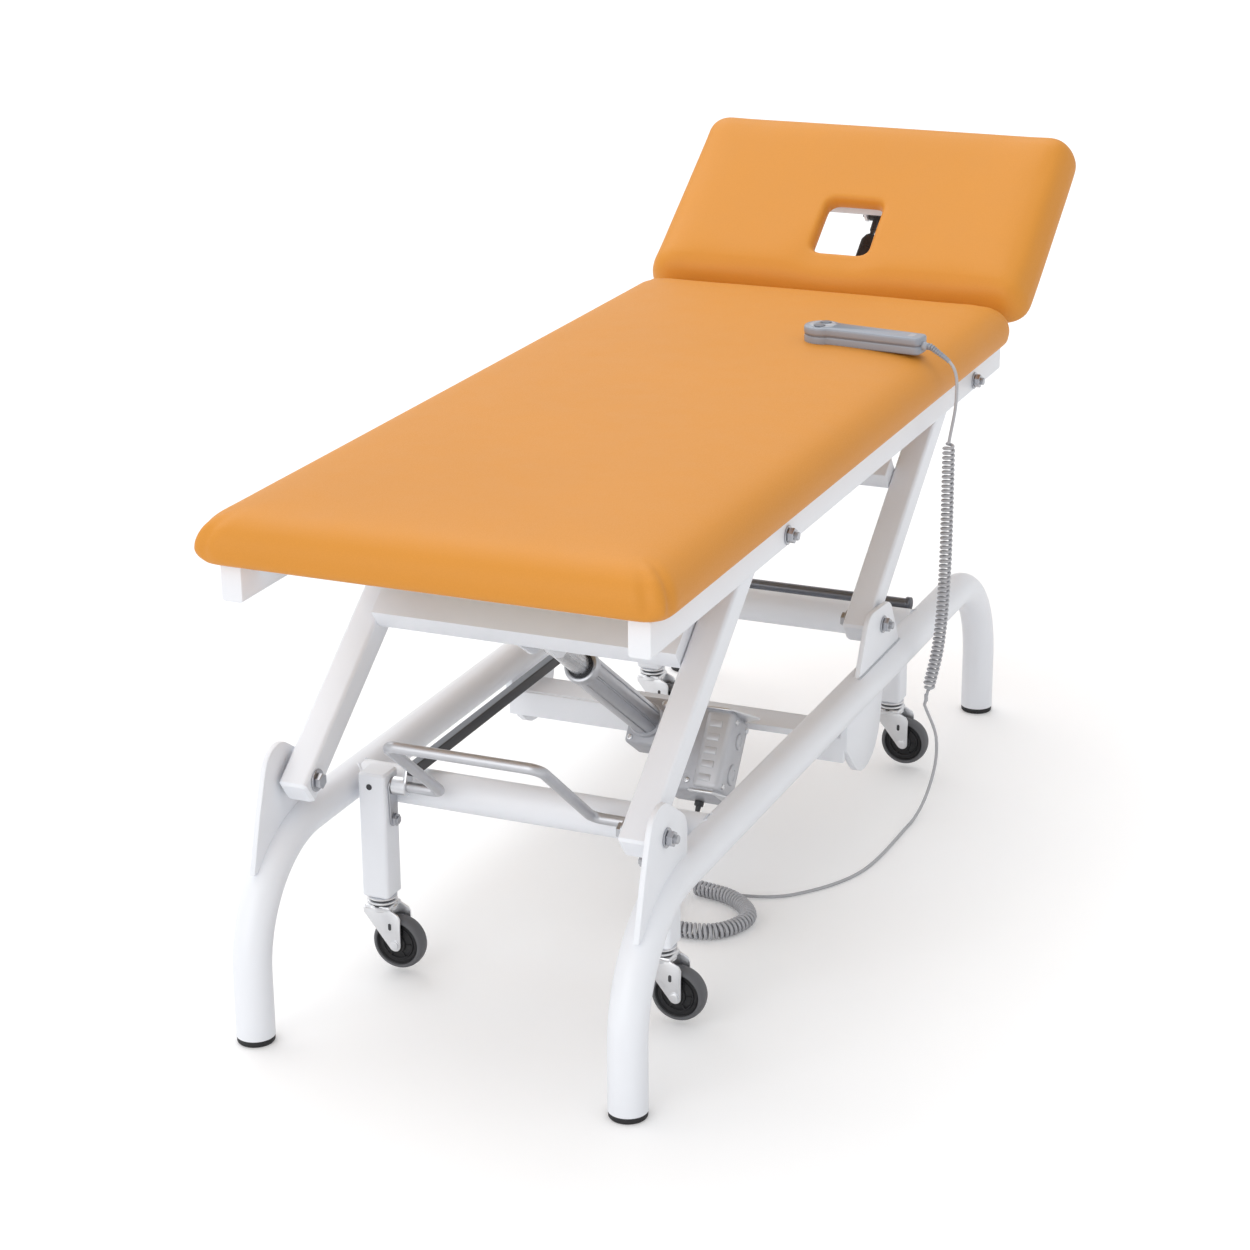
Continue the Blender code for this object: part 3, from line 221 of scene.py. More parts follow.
class Shade:
    """One procedural material under construction."""

    def __init__(self, name: str) -> None:
        """Start a material with a bare Principled shader."""
        self.made = bpy.data.materials.new(name)
        self.made.use_nodes = True
        self.tree = self.made.node_tree
        self.skin = self.tree.nodes["Principled BSDF"]
        self._place: Wire | None = None

    def node(self, kind: str, *parts: dict[Any, Any] | None) -> bpy.types.Node:
        """Add a node to the material, as add_node does."""
        return add_node(self.tree, kind, *parts)

    def place(self, stretch: Point = (1.0, 1.0, 1.0)) -> Wire:
        """Return Object coordinates, stretched where asked.

        Args:
            stretch: Scale of the pattern along each axis.

        Returns:
            The coordinates.
        """
        if self._place is None:
            self._place = Wire(self, self.node("ShaderNodeTexCoord").outputs["Object"])
        if stretch == (1.0, 1.0, 1.0):
            return self._place
        made = self.node("ShaderNodeMapping", None, {"Vector": self._place, "Scale": stretch})
        return Wire(self, made.outputs["Vector"])

    def noise(self, scale: float, detail: float, at: Wire | None = None) -> Wire:
        """Return a noise value around one half, with a scale in cells per metre."""
        made = self.node("ShaderNodeTexNoise", None,
                         {"Vector": at or self.place(), "Scale": scale, "Detail": detail})
        return Wire(self, made.outputs[0])

    def cells(self, scale: float) -> Wire:
        """Return the distance to the nearest of the cell points, in cells."""
        made = self.node("ShaderNodeTexVoronoi", None, {"Vector": self.place(), "Scale": scale})
        return Wire(self, made.outputs["Distance"])

    def blend(self, low: Colour | Wire, high: Colour | Wire, share: Wire) -> Wire:
        """Mix two colours by the share of the second."""
        made = self.node("ShaderNodeMix", {"data_type": "RGBA"}, {0: share, 6: low, 7: high})
        return Wire(self, made.outputs[2])

    def relief(self, height: Wire, depth: float, strength: float) -> None:
        """Feed a height, in units of a depth in metres, to the shader's Normal through one Bump node."""
        made = self.node("ShaderNodeBump", None, {"Strength": strength, "Distance": depth, "Height": height})
        feed(self.tree, self.skin.inputs["Normal"], made.outputs["Normal"])

    def set(self, **values: Any) -> None:
        """Fill sockets of the shader, with underscores for spaces."""
        for key, value in values.items():
            feed(self.tree, self.skin.inputs[key.replace("_", " ")], value)


@dataclass(frozen=True)
class Finish:
    """A surface finish that makes its material once."""

    name: str
    slot: Slot
    colour: Colour
    rough: float

    def material(self) -> bpy.types.Material:
        """Return the finish's material, made on first use."""
        known = bpy.data.materials.get(self.name)
        if known is not None:
            return known
        shade = Shade(self.name)
        self.paint(shade)
        return shade.made

    def tone(self, factor: float) -> Colour:
        """Return the finish's colour, lighter or darker."""
        return tuple(min(1.0, c * factor) for c in self.colour)

    def paint(self, shade: Shade) -> None:
        """Wire the finish; each kind has its own."""
        raise NotImplementedError


@dataclass(frozen=True)
class PowderCoat(Finish):
    """Baked powder paint with a faint orange peel."""

    peel: float = 620.0

    def paint(self, shade: Shade) -> None:
        """Vary colour and gloss softly and raise the peel."""
        drift = shade.noise(9.0, 3.0)
        peel = shade.noise(self.peel, 1.5)
        speck = shade.noise(2300.0, 0.0).above(0.72)
        shade.set(Base_Color=shade.blend(self.tone(0.965), self.tone(1.02), drift),
                  Roughness=drift * 0.10 + speck * 0.05 + (self.rough - 0.05), Specular_IOR_Level=0.5)
        shade.relief(peel + speck * 0.25, 0.00016, 0.5)


@dataclass(frozen=True)
class Vinyl(Finish):
    """Tight upholstery vinyl with a pressed leather grain."""

    grain: float = 640.0

    def paint(self, shade: Shade) -> None:
        """Press a cell grain with painted shade in its creases, and drift colour and sheen over the pad."""
        warp = shade.noise(170.0, 2.0)
        pebble = shade.cells(self.grain)
        fine = shade.noise(1900.0, 2.0)
        drift = shade.noise(3.2, 2.0)
        cloud = shade.noise(22.0, 3.0)
        colour = shade.blend(self.tone(0.94), self.tone(1.05), drift * 0.7 + cloud * 0.3)
        # Painted shade: the grain's creases are darkened in colour, and made a little rougher.
        crease = 1.0 - pebble.above(0.44) * 0.5
        crease_shaded = shade.blend(colour, self.tone(0.86), (1.0 - crease) * 0.35)
        shade.set(Base_Color=shade.blend(crease_shaded, self.tone(1.1), (fine - 0.5) * 0.25),
                  Roughness=cloud * 0.12 + (1.0 - crease) * 0.10 + (self.rough - 0.07),
                  Coat_Weight=0.015, Coat_Roughness=0.28, Specular_IOR_Level=0.28)
        shade.relief(pebble * 0.8 + fine * 0.25 + warp * 0.5, 0.00022, 0.45)


@dataclass(frozen=True)
class PlatedMetal(Finish):
    """Plated or drawn metal with fine streaks along one axis."""

    streak: Point = (1.0, 1.0, 1.0)
    spangle: float = 0.06
    metal: float = 1.0

    def paint(self, shade: Shade) -> None:
        """Streak the gloss and cloud the colour."""
        streak = shade.noise(1500.0, 3.0, shade.place(self.streak))
        cloud = shade.noise(60.0, 3.0)
        worn = shade.noise(240.0, 4.0)
        shade.set(Base_Color=shade.blend(self.tone(0.86), self.tone(1.08), cloud * 0.6 + streak * 0.4),
                  Metallic=self.metal,
                  Roughness=streak * 0.12 + worn * self.spangle * 2.0 + (self.rough - 0.06 - self.spangle))
        shade.relief(streak + worn * 0.4, 0.00005, 0.5)


@dataclass(frozen=True)
class CastAlloy(Finish):
    """Grey coated casting with a sandy skin."""

    grain: float = 900.0

    def paint(self, shade: Shade) -> None:
        """Grain the surface and mottle its gloss."""
        grain = shade.noise(self.grain, 3.0)
        pits = 1.0 - shade.cells(420.0)
        cloud = shade.noise(34.0, 2.0)
        shade.set(Base_Color=shade.blend(self.tone(0.88), self.tone(1.1), cloud * 0.7 + grain * 0.3),
                  Metallic=0.35, Roughness=grain * 0.16 + cloud * 0.08 + (self.rough - 0.12))
        shade.relief(grain + pits * 0.4, 0.00018, 0.6)


@dataclass(frozen=True)
class Moulded(Finish):
    """Moulded plastic or rubber with a spark-eroded texture."""

    grain: float = 1100.0
    depth: float = 0.0001

    def paint(self, shade: Shade) -> None:
        """Grain the skin and let dust dull it here and there."""
        grain = shade.noise(self.grain, 2.0)
        dust = shade.noise(26.0, 4.0)
        shade.set(Base_Color=shade.blend(self.tone(0.92), self.tone(1.10), dust * 0.8 + grain * 0.2),
                  Roughness=grain * 0.14 + dust * 0.10 + (self.rough - 0.12))
        shade.relief(grain, self.depth, 0.6)


@dataclass(frozen=True)
class Plywood(Finish):
    """Birch plywood with long grain."""

    def paint(self, shade: Shade) -> None:
        """Draw the grain along Y with pores and a few darker bands."""
        band = shade.noise(26.0, 4.0, shade.place((1.0, 0.06, 1.0)))
        pore = shade.noise(700.0, 2.0, shade.place((1.0, 0.03, 1.0)))
        shade.set(Base_Color=shade.blend(self.tone(0.72), self.tone(1.18), band * 0.8 + pore * 0.2),
                  Roughness=pore * 0.2 + (self.rough - 0.1))
        shade.relief(pore + band * 0.5, 0.0002, 0.5)


@dataclass(frozen=True)
class Shades:
    """Every finish on the table."""

    white: Finish = PowderCoat("powder_white_skin", Slot.WHITE, (0.862, 0.883, 0.926), 0.34)
    vinyl: Finish = Vinyl("orange_vinyl_skin", Slot.VINYL, (0.705, 0.288, 0.039), 0.46)
    zinc: Finish = PlatedMetal("bright_zinc_skin", Slot.ZINC, (0.82, 0.83, 0.85), 0.32)
    bolt: Finish = PlatedMetal("bolt_zinc_skin", Slot.ZINC, (0.50, 0.51, 0.54), 0.30)
    shaft: Finish = PlatedMetal("dark_shaft_skin", Slot.DARK, (0.20, 0.21, 0.235), 0.36,
                                (0.1, 1.0, 1.0), 0.05)
    steel: Finish = PlatedMetal("drawn_steel_skin", Slot.STEEL, (0.58, 0.59, 0.62), 0.38,
                                (0.08, 1.0, 1.0), 0.04, 0.8)
    rod: Finish = PlatedMetal("ground_rod_skin", Slot.STEEL, (0.66, 0.67, 0.69), 0.26,
                              (1.0, 0.2, 0.2), 0.03)
    rubber: Finish = Moulded("black_rubber_skin", Slot.RUBBER, (0.018, 0.018, 0.02), 0.62, 800.0, 0.00014)
    tyre: Finish = Moulded("grey_tyre_skin", Slot.TYRE, (0.115, 0.117, 0.125), 0.56, 900.0, 0.00012)
    hub: Finish = Moulded("dark_hub_skin", Slot.TYRE, (0.008, 0.008, 0.010), 0.60, 1000.0, 0.0001)
    alloy: Finish = CastAlloy("cast_alloy_skin", Slot.ALLOY, (0.47, 0.48, 0.515), 0.40)
    cover: Finish = CastAlloy("cast_cover_skin", Slot.ALLOY, (0.60, 0.61, 0.64), 0.40, 700.0)
    extruded: Finish = PlatedMetal("extruded_alloy_skin", Slot.ALLOY, (0.56, 0.57, 0.60), 0.36,
                                   (1.0, 0.15, 0.15), 0.05)
    dark: Finish = Moulded("dark_steel_skin", Slot.DARK, (0.040, 0.041, 0.046), 0.40, 1300.0, 0.00007)
    plastic: Finish = Moulded("grey_plastic_skin", Slot.PLASTIC, (0.30, 0.33, 0.385), 0.36, 1500.0, 0.00006)
    pale: Finish = Moulded("pale_plastic_skin", Slot.PLASTIC, (0.40, 0.42, 0.46), 0.34, 1500.0, 0.00005)
    button: Finish = Moulded("grey_button_skin", Slot.BUTTON, (0.17, 0.18, 0.21), 0.40, 1300.0, 0.00006)
    cable: Finish = Moulded("grey_cable_skin", Slot.CABLE, (0.46, 0.465, 0.49), 0.38, 1600.0, 0.00005)
    ply: Finish = Plywood("plywood_skin", Slot.PLY, (0.50, 0.36, 0.21), 0.66)


SHADES = Shades()


class NodeRig:
    """A geometry node tree built in the script, with named inputs."""

    def __init__(self, name: str) -> None:
        """Start a tree with geometry in and out."""
        self.tree = bpy.data.node_groups.new(name, "GeometryNodeTree")
        self.tree.interface.new_socket("Geometry", in_out="INPUT", socket_type="NodeSocketGeometry")
        self.tree.interface.new_socket("Geometry", in_out="OUTPUT", socket_type="NodeSocketGeometry")
        self.source = self.tree.nodes.new("NodeGroupInput")
        self.sink = self.tree.nodes.new("NodeGroupOutput")
        self.names: dict[str, str] = {}

    def input(self, name: str, kind: str) -> bpy.types.NodeSocket:
        """Add a named input.

        Args:
            name: The input's name.
            kind: Its socket type, without the leading words.

        Returns:
            The socket inside the tree.
        """
        made = self.tree.interface.new_socket(name, in_out="INPUT", socket_type="NodeSocket" + kind)
        self.names[name] = made.identifier
        return self.source.outputs[name]

    def node(self, kind: str, *parts: dict[Any, Any] | None) -> bpy.types.Node:
        """Add a node to the tree, as add_node does."""
        return add_node(self.tree, kind, *parts)

    def curve(self) -> bpy.types.NodeSocket:
        """Return the incoming lines as a curve."""
        return self.node("GeometryNodeMeshToCurve", None, {0: self.source.outputs["Geometry"]}).outputs[0]

    def close(self, geometry: bpy.types.NodeSocket) -> "NodeRig":
        """End the tree in realized instances and one material.

        Args:
            geometry: What the tree has made.

        Returns:
            This tree.
        """
        real = self.node("GeometryNodeRealizeInstances", None, {"Geometry": geometry})
        skin = self.node("GeometryNodeSetMaterial", None,
                         {"Geometry": real.outputs[0], "Material": self.input("Material", "Material")})
        self.tree.links.new(skin.outputs[0], self.sink.inputs[0])
        return self

    def grow(self, name: str, seed: bpy.types.Mesh, finish: Finish, smooth: float = 40.0,
             **values: Any) -> bpy.types.Object:
        """Run the tree on a seed mesh and keep the result as a plain mesh.

        Args:
            name: The piece's name.
            seed: Points or lines that the tree works on.
            finish: The piece's finish.
            smooth: Angle above which edges stay sharp.
            values: The tree's inputs, by name.

        Returns:
            The piece.
        """
        made = added(name, seed)
        rig = made.modifiers.new("grow", "NODES")
        rig.node_group = self.tree
        for key, value in values.items():
            rig[self.names[key]] = value
        rig[self.names["Material"]] = finish.material()
        bake(made, rig)
        mesh = made.data
        mesh.name = name
        if not mesh.materials:
            mesh.materials.append(finish.material())
        settle(mesh, smooth)
        return made


def added(name: str, data: Any) -> bpy.types.Object:
    """Return a new object that is in the scene.

    Args:
        name: The object's name.
        data: Its mesh, light or camera.

    Returns:
        The object.
    """
    made = bpy.data.objects.new(name, data)
    bpy.context.scene.collection.objects.link(made)
    return made


def bake(made: bpy.types.Object, tool: bpy.types.Modifier) -> None:
    """Keep a modifier's result as the object's mesh.

    Args:
        made: The object.
        tool: Its modifier, which goes.
    """
    view = bpy.context.evaluated_depsgraph_get()
    view.update()
    mesh = bpy.data.meshes.new_from_object(made.evaluated_get(view))
    made.modifiers.remove(tool)
    old = made.data
    made.data = mesh
    bpy.data.meshes.remove(old)


def rework(made: bpy.types.Object, kind: str, **settings: Any) -> None:
    """Put an object through one modifier.

    Args:
        made: The object.
        kind: The modifier's type.
        settings: Its properties.
    """
    tool = made.modifiers.new("step", kind)
    for key, value in settings.items():
        setattr(tool, key, value)
    bake(made, tool)


def carve(made: bpy.types.Object, plug: bpy.types.Object, **settings: Any) -> None:
    """Cut a plug out of an object and drop the plug."""
    rework(made, "BOOLEAN", object=plug, operation="DIFFERENCE", solver="EXACT", **settings)
    bpy.data.objects.remove(plug, do_unlink=True)


def settle(mesh: bpy.types.Mesh, smooth: float) -> None:
    """Point faces outward and shade smooth up to an angle.

    Args:
        mesh: The mesh to settle.
        smooth: The angle in degrees.
    """
    bm = bmesh.new()
    bm.from_mesh(mesh)
    bmesh.ops.remove_doubles(bm, verts=bm.verts, dist=MERGE)
    bmesh.ops.recalc_face_normals(bm, faces=bm.faces)
    bm.to_mesh(mesh)
    bm.free()
    mesh.shade_smooth()
    mesh.set_sharp_from_angle(angle=math.radians(smooth))


def line_mesh(points: Iterable[Sequence[float]]) -> bpy.types.Mesh:
    """Return a mesh of one polyline.

    Args:
        points: Its points in order.

    Returns:
        The mesh.
    """
    at = [tuple(float(v) for v in p) for p in points]
    mesh = bpy.data.meshes.new("line")
    mesh.from_pydata(at, [(i, i + 1) for i in range(len(at) - 1)], [])
    return mesh


def point_mesh(places: Sequence[tuple[Point, Point]]) -> bpy.types.Mesh:
    """Return loose points that carry a turn.

    Args:
        places: Each point and its Euler angles.

    Returns:
        The mesh.
    """
    mesh = bpy.data.meshes.new("points")
    mesh.from_pydata([p for p, _ in places], [], [])
    turn = mesh.attributes.new("turn", "FLOAT_VECTOR", "POINT")
    turn.data.foreach_set("vector", [float(v) for _, t in places for v in t])
    return mesh


class Rigs:
    """The table's node trees, built once."""

    def __init__(self) -> None:
        """Build every tree."""
        self.tube = self._tube()
        self.copies = self._copies()
        self.bead = self._bead()
        self.ribs = self._ribs()

    def _tube(self) -> NodeRig:
        """Return the tree that sweeps a round tube along a line."""
        rig = NodeRig("swept_tube")
        radius = rig.input("Radius", "Float")
        sides = rig.input("Sides", "Int")
        ring = rig.node("GeometryNodeCurvePrimitiveCircle", {"mode": "RADIUS"},
                        {"Resolution": sides, "Radius": radius})
        skin = rig.node("GeometryNodeCurveToMesh", None,
                        {"Curve": rig.curve(), "Profile Curve": ring.outputs[0], "Fill Caps": True})
        return rig.close(skin.outputs[0])

    def _copies(self) -> NodeRig:
        """Return the tree that sets copies of one shape on turned points."""
        rig = NodeRig("placed_copies")
        shape = rig.input("Shape", "Object")
        points = rig.node("GeometryNodeMeshToPoints", None, {0: rig.source.outputs["Geometry"]})
        info = rig.node("GeometryNodeObjectInfo", {"transform_space": "ORIGINAL"}, {"Object": shape})
        turn = rig.node("GeometryNodeInputNamedAttribute", {"data_type": "FLOAT_VECTOR"}, {"Name": "turn"})
        made = rig.node("GeometryNodeInstanceOnPoints", None,
                        {"Points": points.outputs[0], "Instance": info.outputs["Geometry"],
                         "Rotation": turn.outputs["Attribute"]})
        return rig.close(made.outputs[0])

    def _bead(self) -> NodeRig:
        """Return the tree that lays a rippled weld bead along a line."""
        rig = NodeRig("weld_bead")
        size = rig.input("Size", "Float")
        pitch = rig.input("Pitch", "Float")
        even = rig.node("GeometryNodeResampleCurve", {"mode": "LENGTH"},
                        {"Curve": rig.curve(), "Length": pitch})
        drop = rig.node("GeometryNodeMeshIcoSphere", None, {"Radius": size, "Subdivisions": 2})
        spread = rig.node("FunctionNodeRandomValue", {"data_type": "FLOAT"}, {2: 0.88, 3: 1.12, "Seed": 11})
        made = rig.node("GeometryNodeInstanceOnPoints", None,
                        {"Points": even.outputs[0], "Instance": drop.outputs[0], "Scale": spread.outputs[1]})
        return rig.close(made.outputs[0])

    def _ribs(self) -> NodeRig:
        """Return the tree that sets tapering rings along a line."""
        rig = NodeRig("sleeve_ribs")
        radius = rig.input("Radius", "Float")
        count = rig.input("Count", "Int")
        taper = rig.input("Taper", "Float")
        depth = rig.input("Depth", "Float")
        even = rig.node("GeometryNodeResampleCurve", {"mode": "COUNT"},
                        {"Curve": rig.curve(), "Count": count})
        along = rig.node("GeometryNodeInputTangent")
        turn = rig.node("FunctionNodeAlignRotationToVector", {"axis": "Z"}, {"Vector": along.outputs[0]})
        ring = rig.node("GeometryNodeMeshCylinder", None, {"Vertices": 24, "Radius": radius, "Depth": depth})
        far = rig.node("GeometryNodeSplineParameter")
        less = rig.node("ShaderNodeMath", {"operation": "MULTIPLY"}, {0: far.outputs["Factor"], 1: taper})
        size = rig.node("ShaderNodeMath", {"operation": "SUBTRACT"}, {0: 1.0, 1: less.outputs[0]})
        scale = rig.node("ShaderNodeCombineXYZ", None, {0: size.outputs[0], 1: size.outputs[0], 2: 1.0})
        made = rig.node("GeometryNodeInstanceOnPoints", None,
                        {"Points": even.outputs[0], "Instance": ring.outputs["Mesh"],
                         "Rotation": turn.outputs[0], "Scale": scale.outputs[0]})
        return rig.close(made.outputs[0])


RIGS = Rigs()


def unit(angle: float) -> Flat:
    """Return the YZ direction at an angle from +Y."""
    return (math.cos(angle), math.sin(angle))


def along(origin: Flat, angle: float, run: float, across: float) -> Flat:
    """Return the YZ point at a distance along a line and a distance to its left."""
    c, s = unit(angle)
    return (origin[0] + run * c - across * s, origin[1] + run * s + across * c)


def circle(centre: Flat, radius: float, count: int = 40) -> list[Flat]:
    """Return points on a circle."""
    return [(centre[0] + radius * math.cos(2.0 * math.pi * k / count),
             centre[1] + radius * math.sin(2.0 * math.pi * k / count)) for k in range(count)]


def hull(points: Iterable[Flat]) -> list[Flat]:
    """Return the convex outline of points, anticlockwise.

    Args:
        points: Points in a plane.

    Returns:
        The outline.
    """
    at = sorted(set((round(a, 7), round(b, 7)) for a, b in points))

    def half(order: Iterable[Flat]) -> list[Flat]:
        """Return one half of the outline."""
        out: list[Flat] = []
        for p in order:
            while len(out) > 1 and ((out[-1][0] - out[-2][0]) * (p[1] - out[-2][1])
                                    - (out[-1][1] - out[-2][1]) * (p[0] - out[-2][0])) <= 0.0:
                out.pop()
            out.append(p)
        return out

    low = half(at)
    high = half(reversed(at))
    return low[:-1] + high[:-1]


def round_rect(width: float, height: float, radius: float, steps: int = 6) -> list[Flat]:
    """Return a rectangle with rounded corners around the origin.

    Args:
        width: Full width.
        height: Full height.
        radius: Corner radius.
        steps: Facets in each corner.

    Returns:
        The outline, anticlockwise.
    """
    out = []
    for sx, sy, start in ((1, 1, 0.0), (-1, 1, 0.5), (-1, -1, 1.0), (1, -1, 1.5)):
        cx = sx * (width / 2.0 - radius)
        cy = sy * (height / 2.0 - radius)
        for k in range(steps + 1):
            a = math.pi * (start + k / steps / 2.0)
            out.append((cx + radius * math.cos(a), cy + radius * math.sin(a)))
    return out


def rounded_path(corners: Sequence[Point], radii: Sequence[float], steps: int = 14) -> list[Vector]:
    """Return a bent line with an arc at each inner corner.

    Args:
        corners: The line's corners.
        radii: Bend radius of each inner corner.
        steps: Facets in each bend.

    Returns:
        Its points.
    """
    at = [Vector(c) for c in corners]
    out = [at[0]]
    for before, here, after, radius in zip(at, at[1:], at[2:], radii):
        a = (before - here).normalized()
        b = (after - here).normalized()
        half = a.angle(b) / 2.0
        run = radius / math.tan(half)
        centre = here + (a + b).normalized() * (radius / math.sin(half))
        first = here + a * run - centre
        last = here + b * run - centre
        turn = first.rotation_difference(last)
        for k in range(steps + 1):
            step = turn.copy()
            step.angle = turn.angle * k / steps
            out.append(centre + step @ first)
    out.append(at[-1])
    return out


def smooth_path(knots: Sequence[Sequence[float]], count: int) -> np.ndarray:
    """Return evenly spaced points on a smooth line through knots.

    Args:
        knots: Points it passes through.
        count: How many points come back, less one.

    Returns:
        The points.
    """
    p = np.array(knots, float)
    p = np.vstack([2.0 * p[0] - p[1], p, 2.0 * p[-1] - p[-2]])
    fine = []
    for a, b, c, d in zip(p, p[1:], p[2:], p[3:]):
        for t in np.linspace(0.0, 1.0, 60, endpoint=False):
            fine.append(0.5 * (2.0 * b + (c - a) * t + (2.0 * a - 5.0 * b + 4.0 * c - d) * t * t
                               + (3.0 * b - a - 3.0 * c + d) * t ** 3))
    fine.append(p[-2])
    fine = np.array(fine)
    run = np.concatenate([[0.0], np.cumsum(np.linalg.norm(np.diff(fine, axis=0), axis=1))])
    even = np.linspace(0.0, run[-1], count + 1)
    return np.stack([np.interp(even, run, fine[:, k]) for k in range(3)], axis=1)


def line_length(points: np.ndarray) -> float:
    """Return the length of a polyline."""
    return float(np.linalg.norm(np.diff(points, axis=0), axis=1).sum())


def mirrored(half: Sequence[Flat]) -> list[Flat]:
    """Return a profile's upper half, from bore to middle, after its mirror image."""
    return [(r, -z) for r, z in half] + list(reversed(half))


def pin(radius: float, reach: float, chamfer: float = 0.001, bore: float = 0.0) -> list[Flat]:
    """Return the profile of a pin of twice the reach, chamfered at both ends and bored if asked."""
    return mirrored([(bore, reach), (radius - chamfer, reach), (radius, reach - chamfer)])


def soften(bm: bmesh.types.BMesh, edge: float, angle: float, steps: int) -> None:
    """Bevel the hard edges of a mesh.

    Args:
        bm: The mesh.
        edge: Bevel width, or 0.
        angle: Edges sharper than this get it, in degrees.
        steps: Facets of the bevel.
    """
    least = math.radians(angle)
    hard = [e for e in bm.edges if len(e.link_faces) == 2 and e.calc_face_angle(0.0) > least]
    if edge > 0.0:
        bmesh.ops.bevel(bm, geom=hard, offset=edge, segments=steps, affect="EDGES", profile=0.5,
                        clamp_overlap=True)


def loft(bm: bmesh.types.BMesh, loops: Sequence[list[bmesh.types.BMVert]]) -> None:
    """Skin stacked loops of points and close both ends.

    Args:
        bm: The mesh that holds the points.
        loops: The loops, with as many points in each.
    """
    for low, high in zip(loops, loops[1:]):
        for i in range(len(low)):
            j = (i + 1) % len(low)
            bm.faces.new((low[i], low[j], high[j], high[i]))
    bm.faces.new(list(reversed(loops[0])))
    bm.faces.new(loops[-1])


def lofted(name: str, loops: Sequence[Sequence[Point]]) -> bpy.types.Mesh:
    """Return a closed mesh through stacked loops of points.

    Args:
        name: The mesh's name.
        loops: The loops, from one end to the other.

    Returns:
        The mesh.
    """
    bm = bmesh.new()
    loft(bm, [[bm.verts.new(p) for p in loop] for loop in loops])
    mesh = bpy.data.meshes.new(name)
    bm.to_mesh(mesh)
    bm.free()
    return mesh


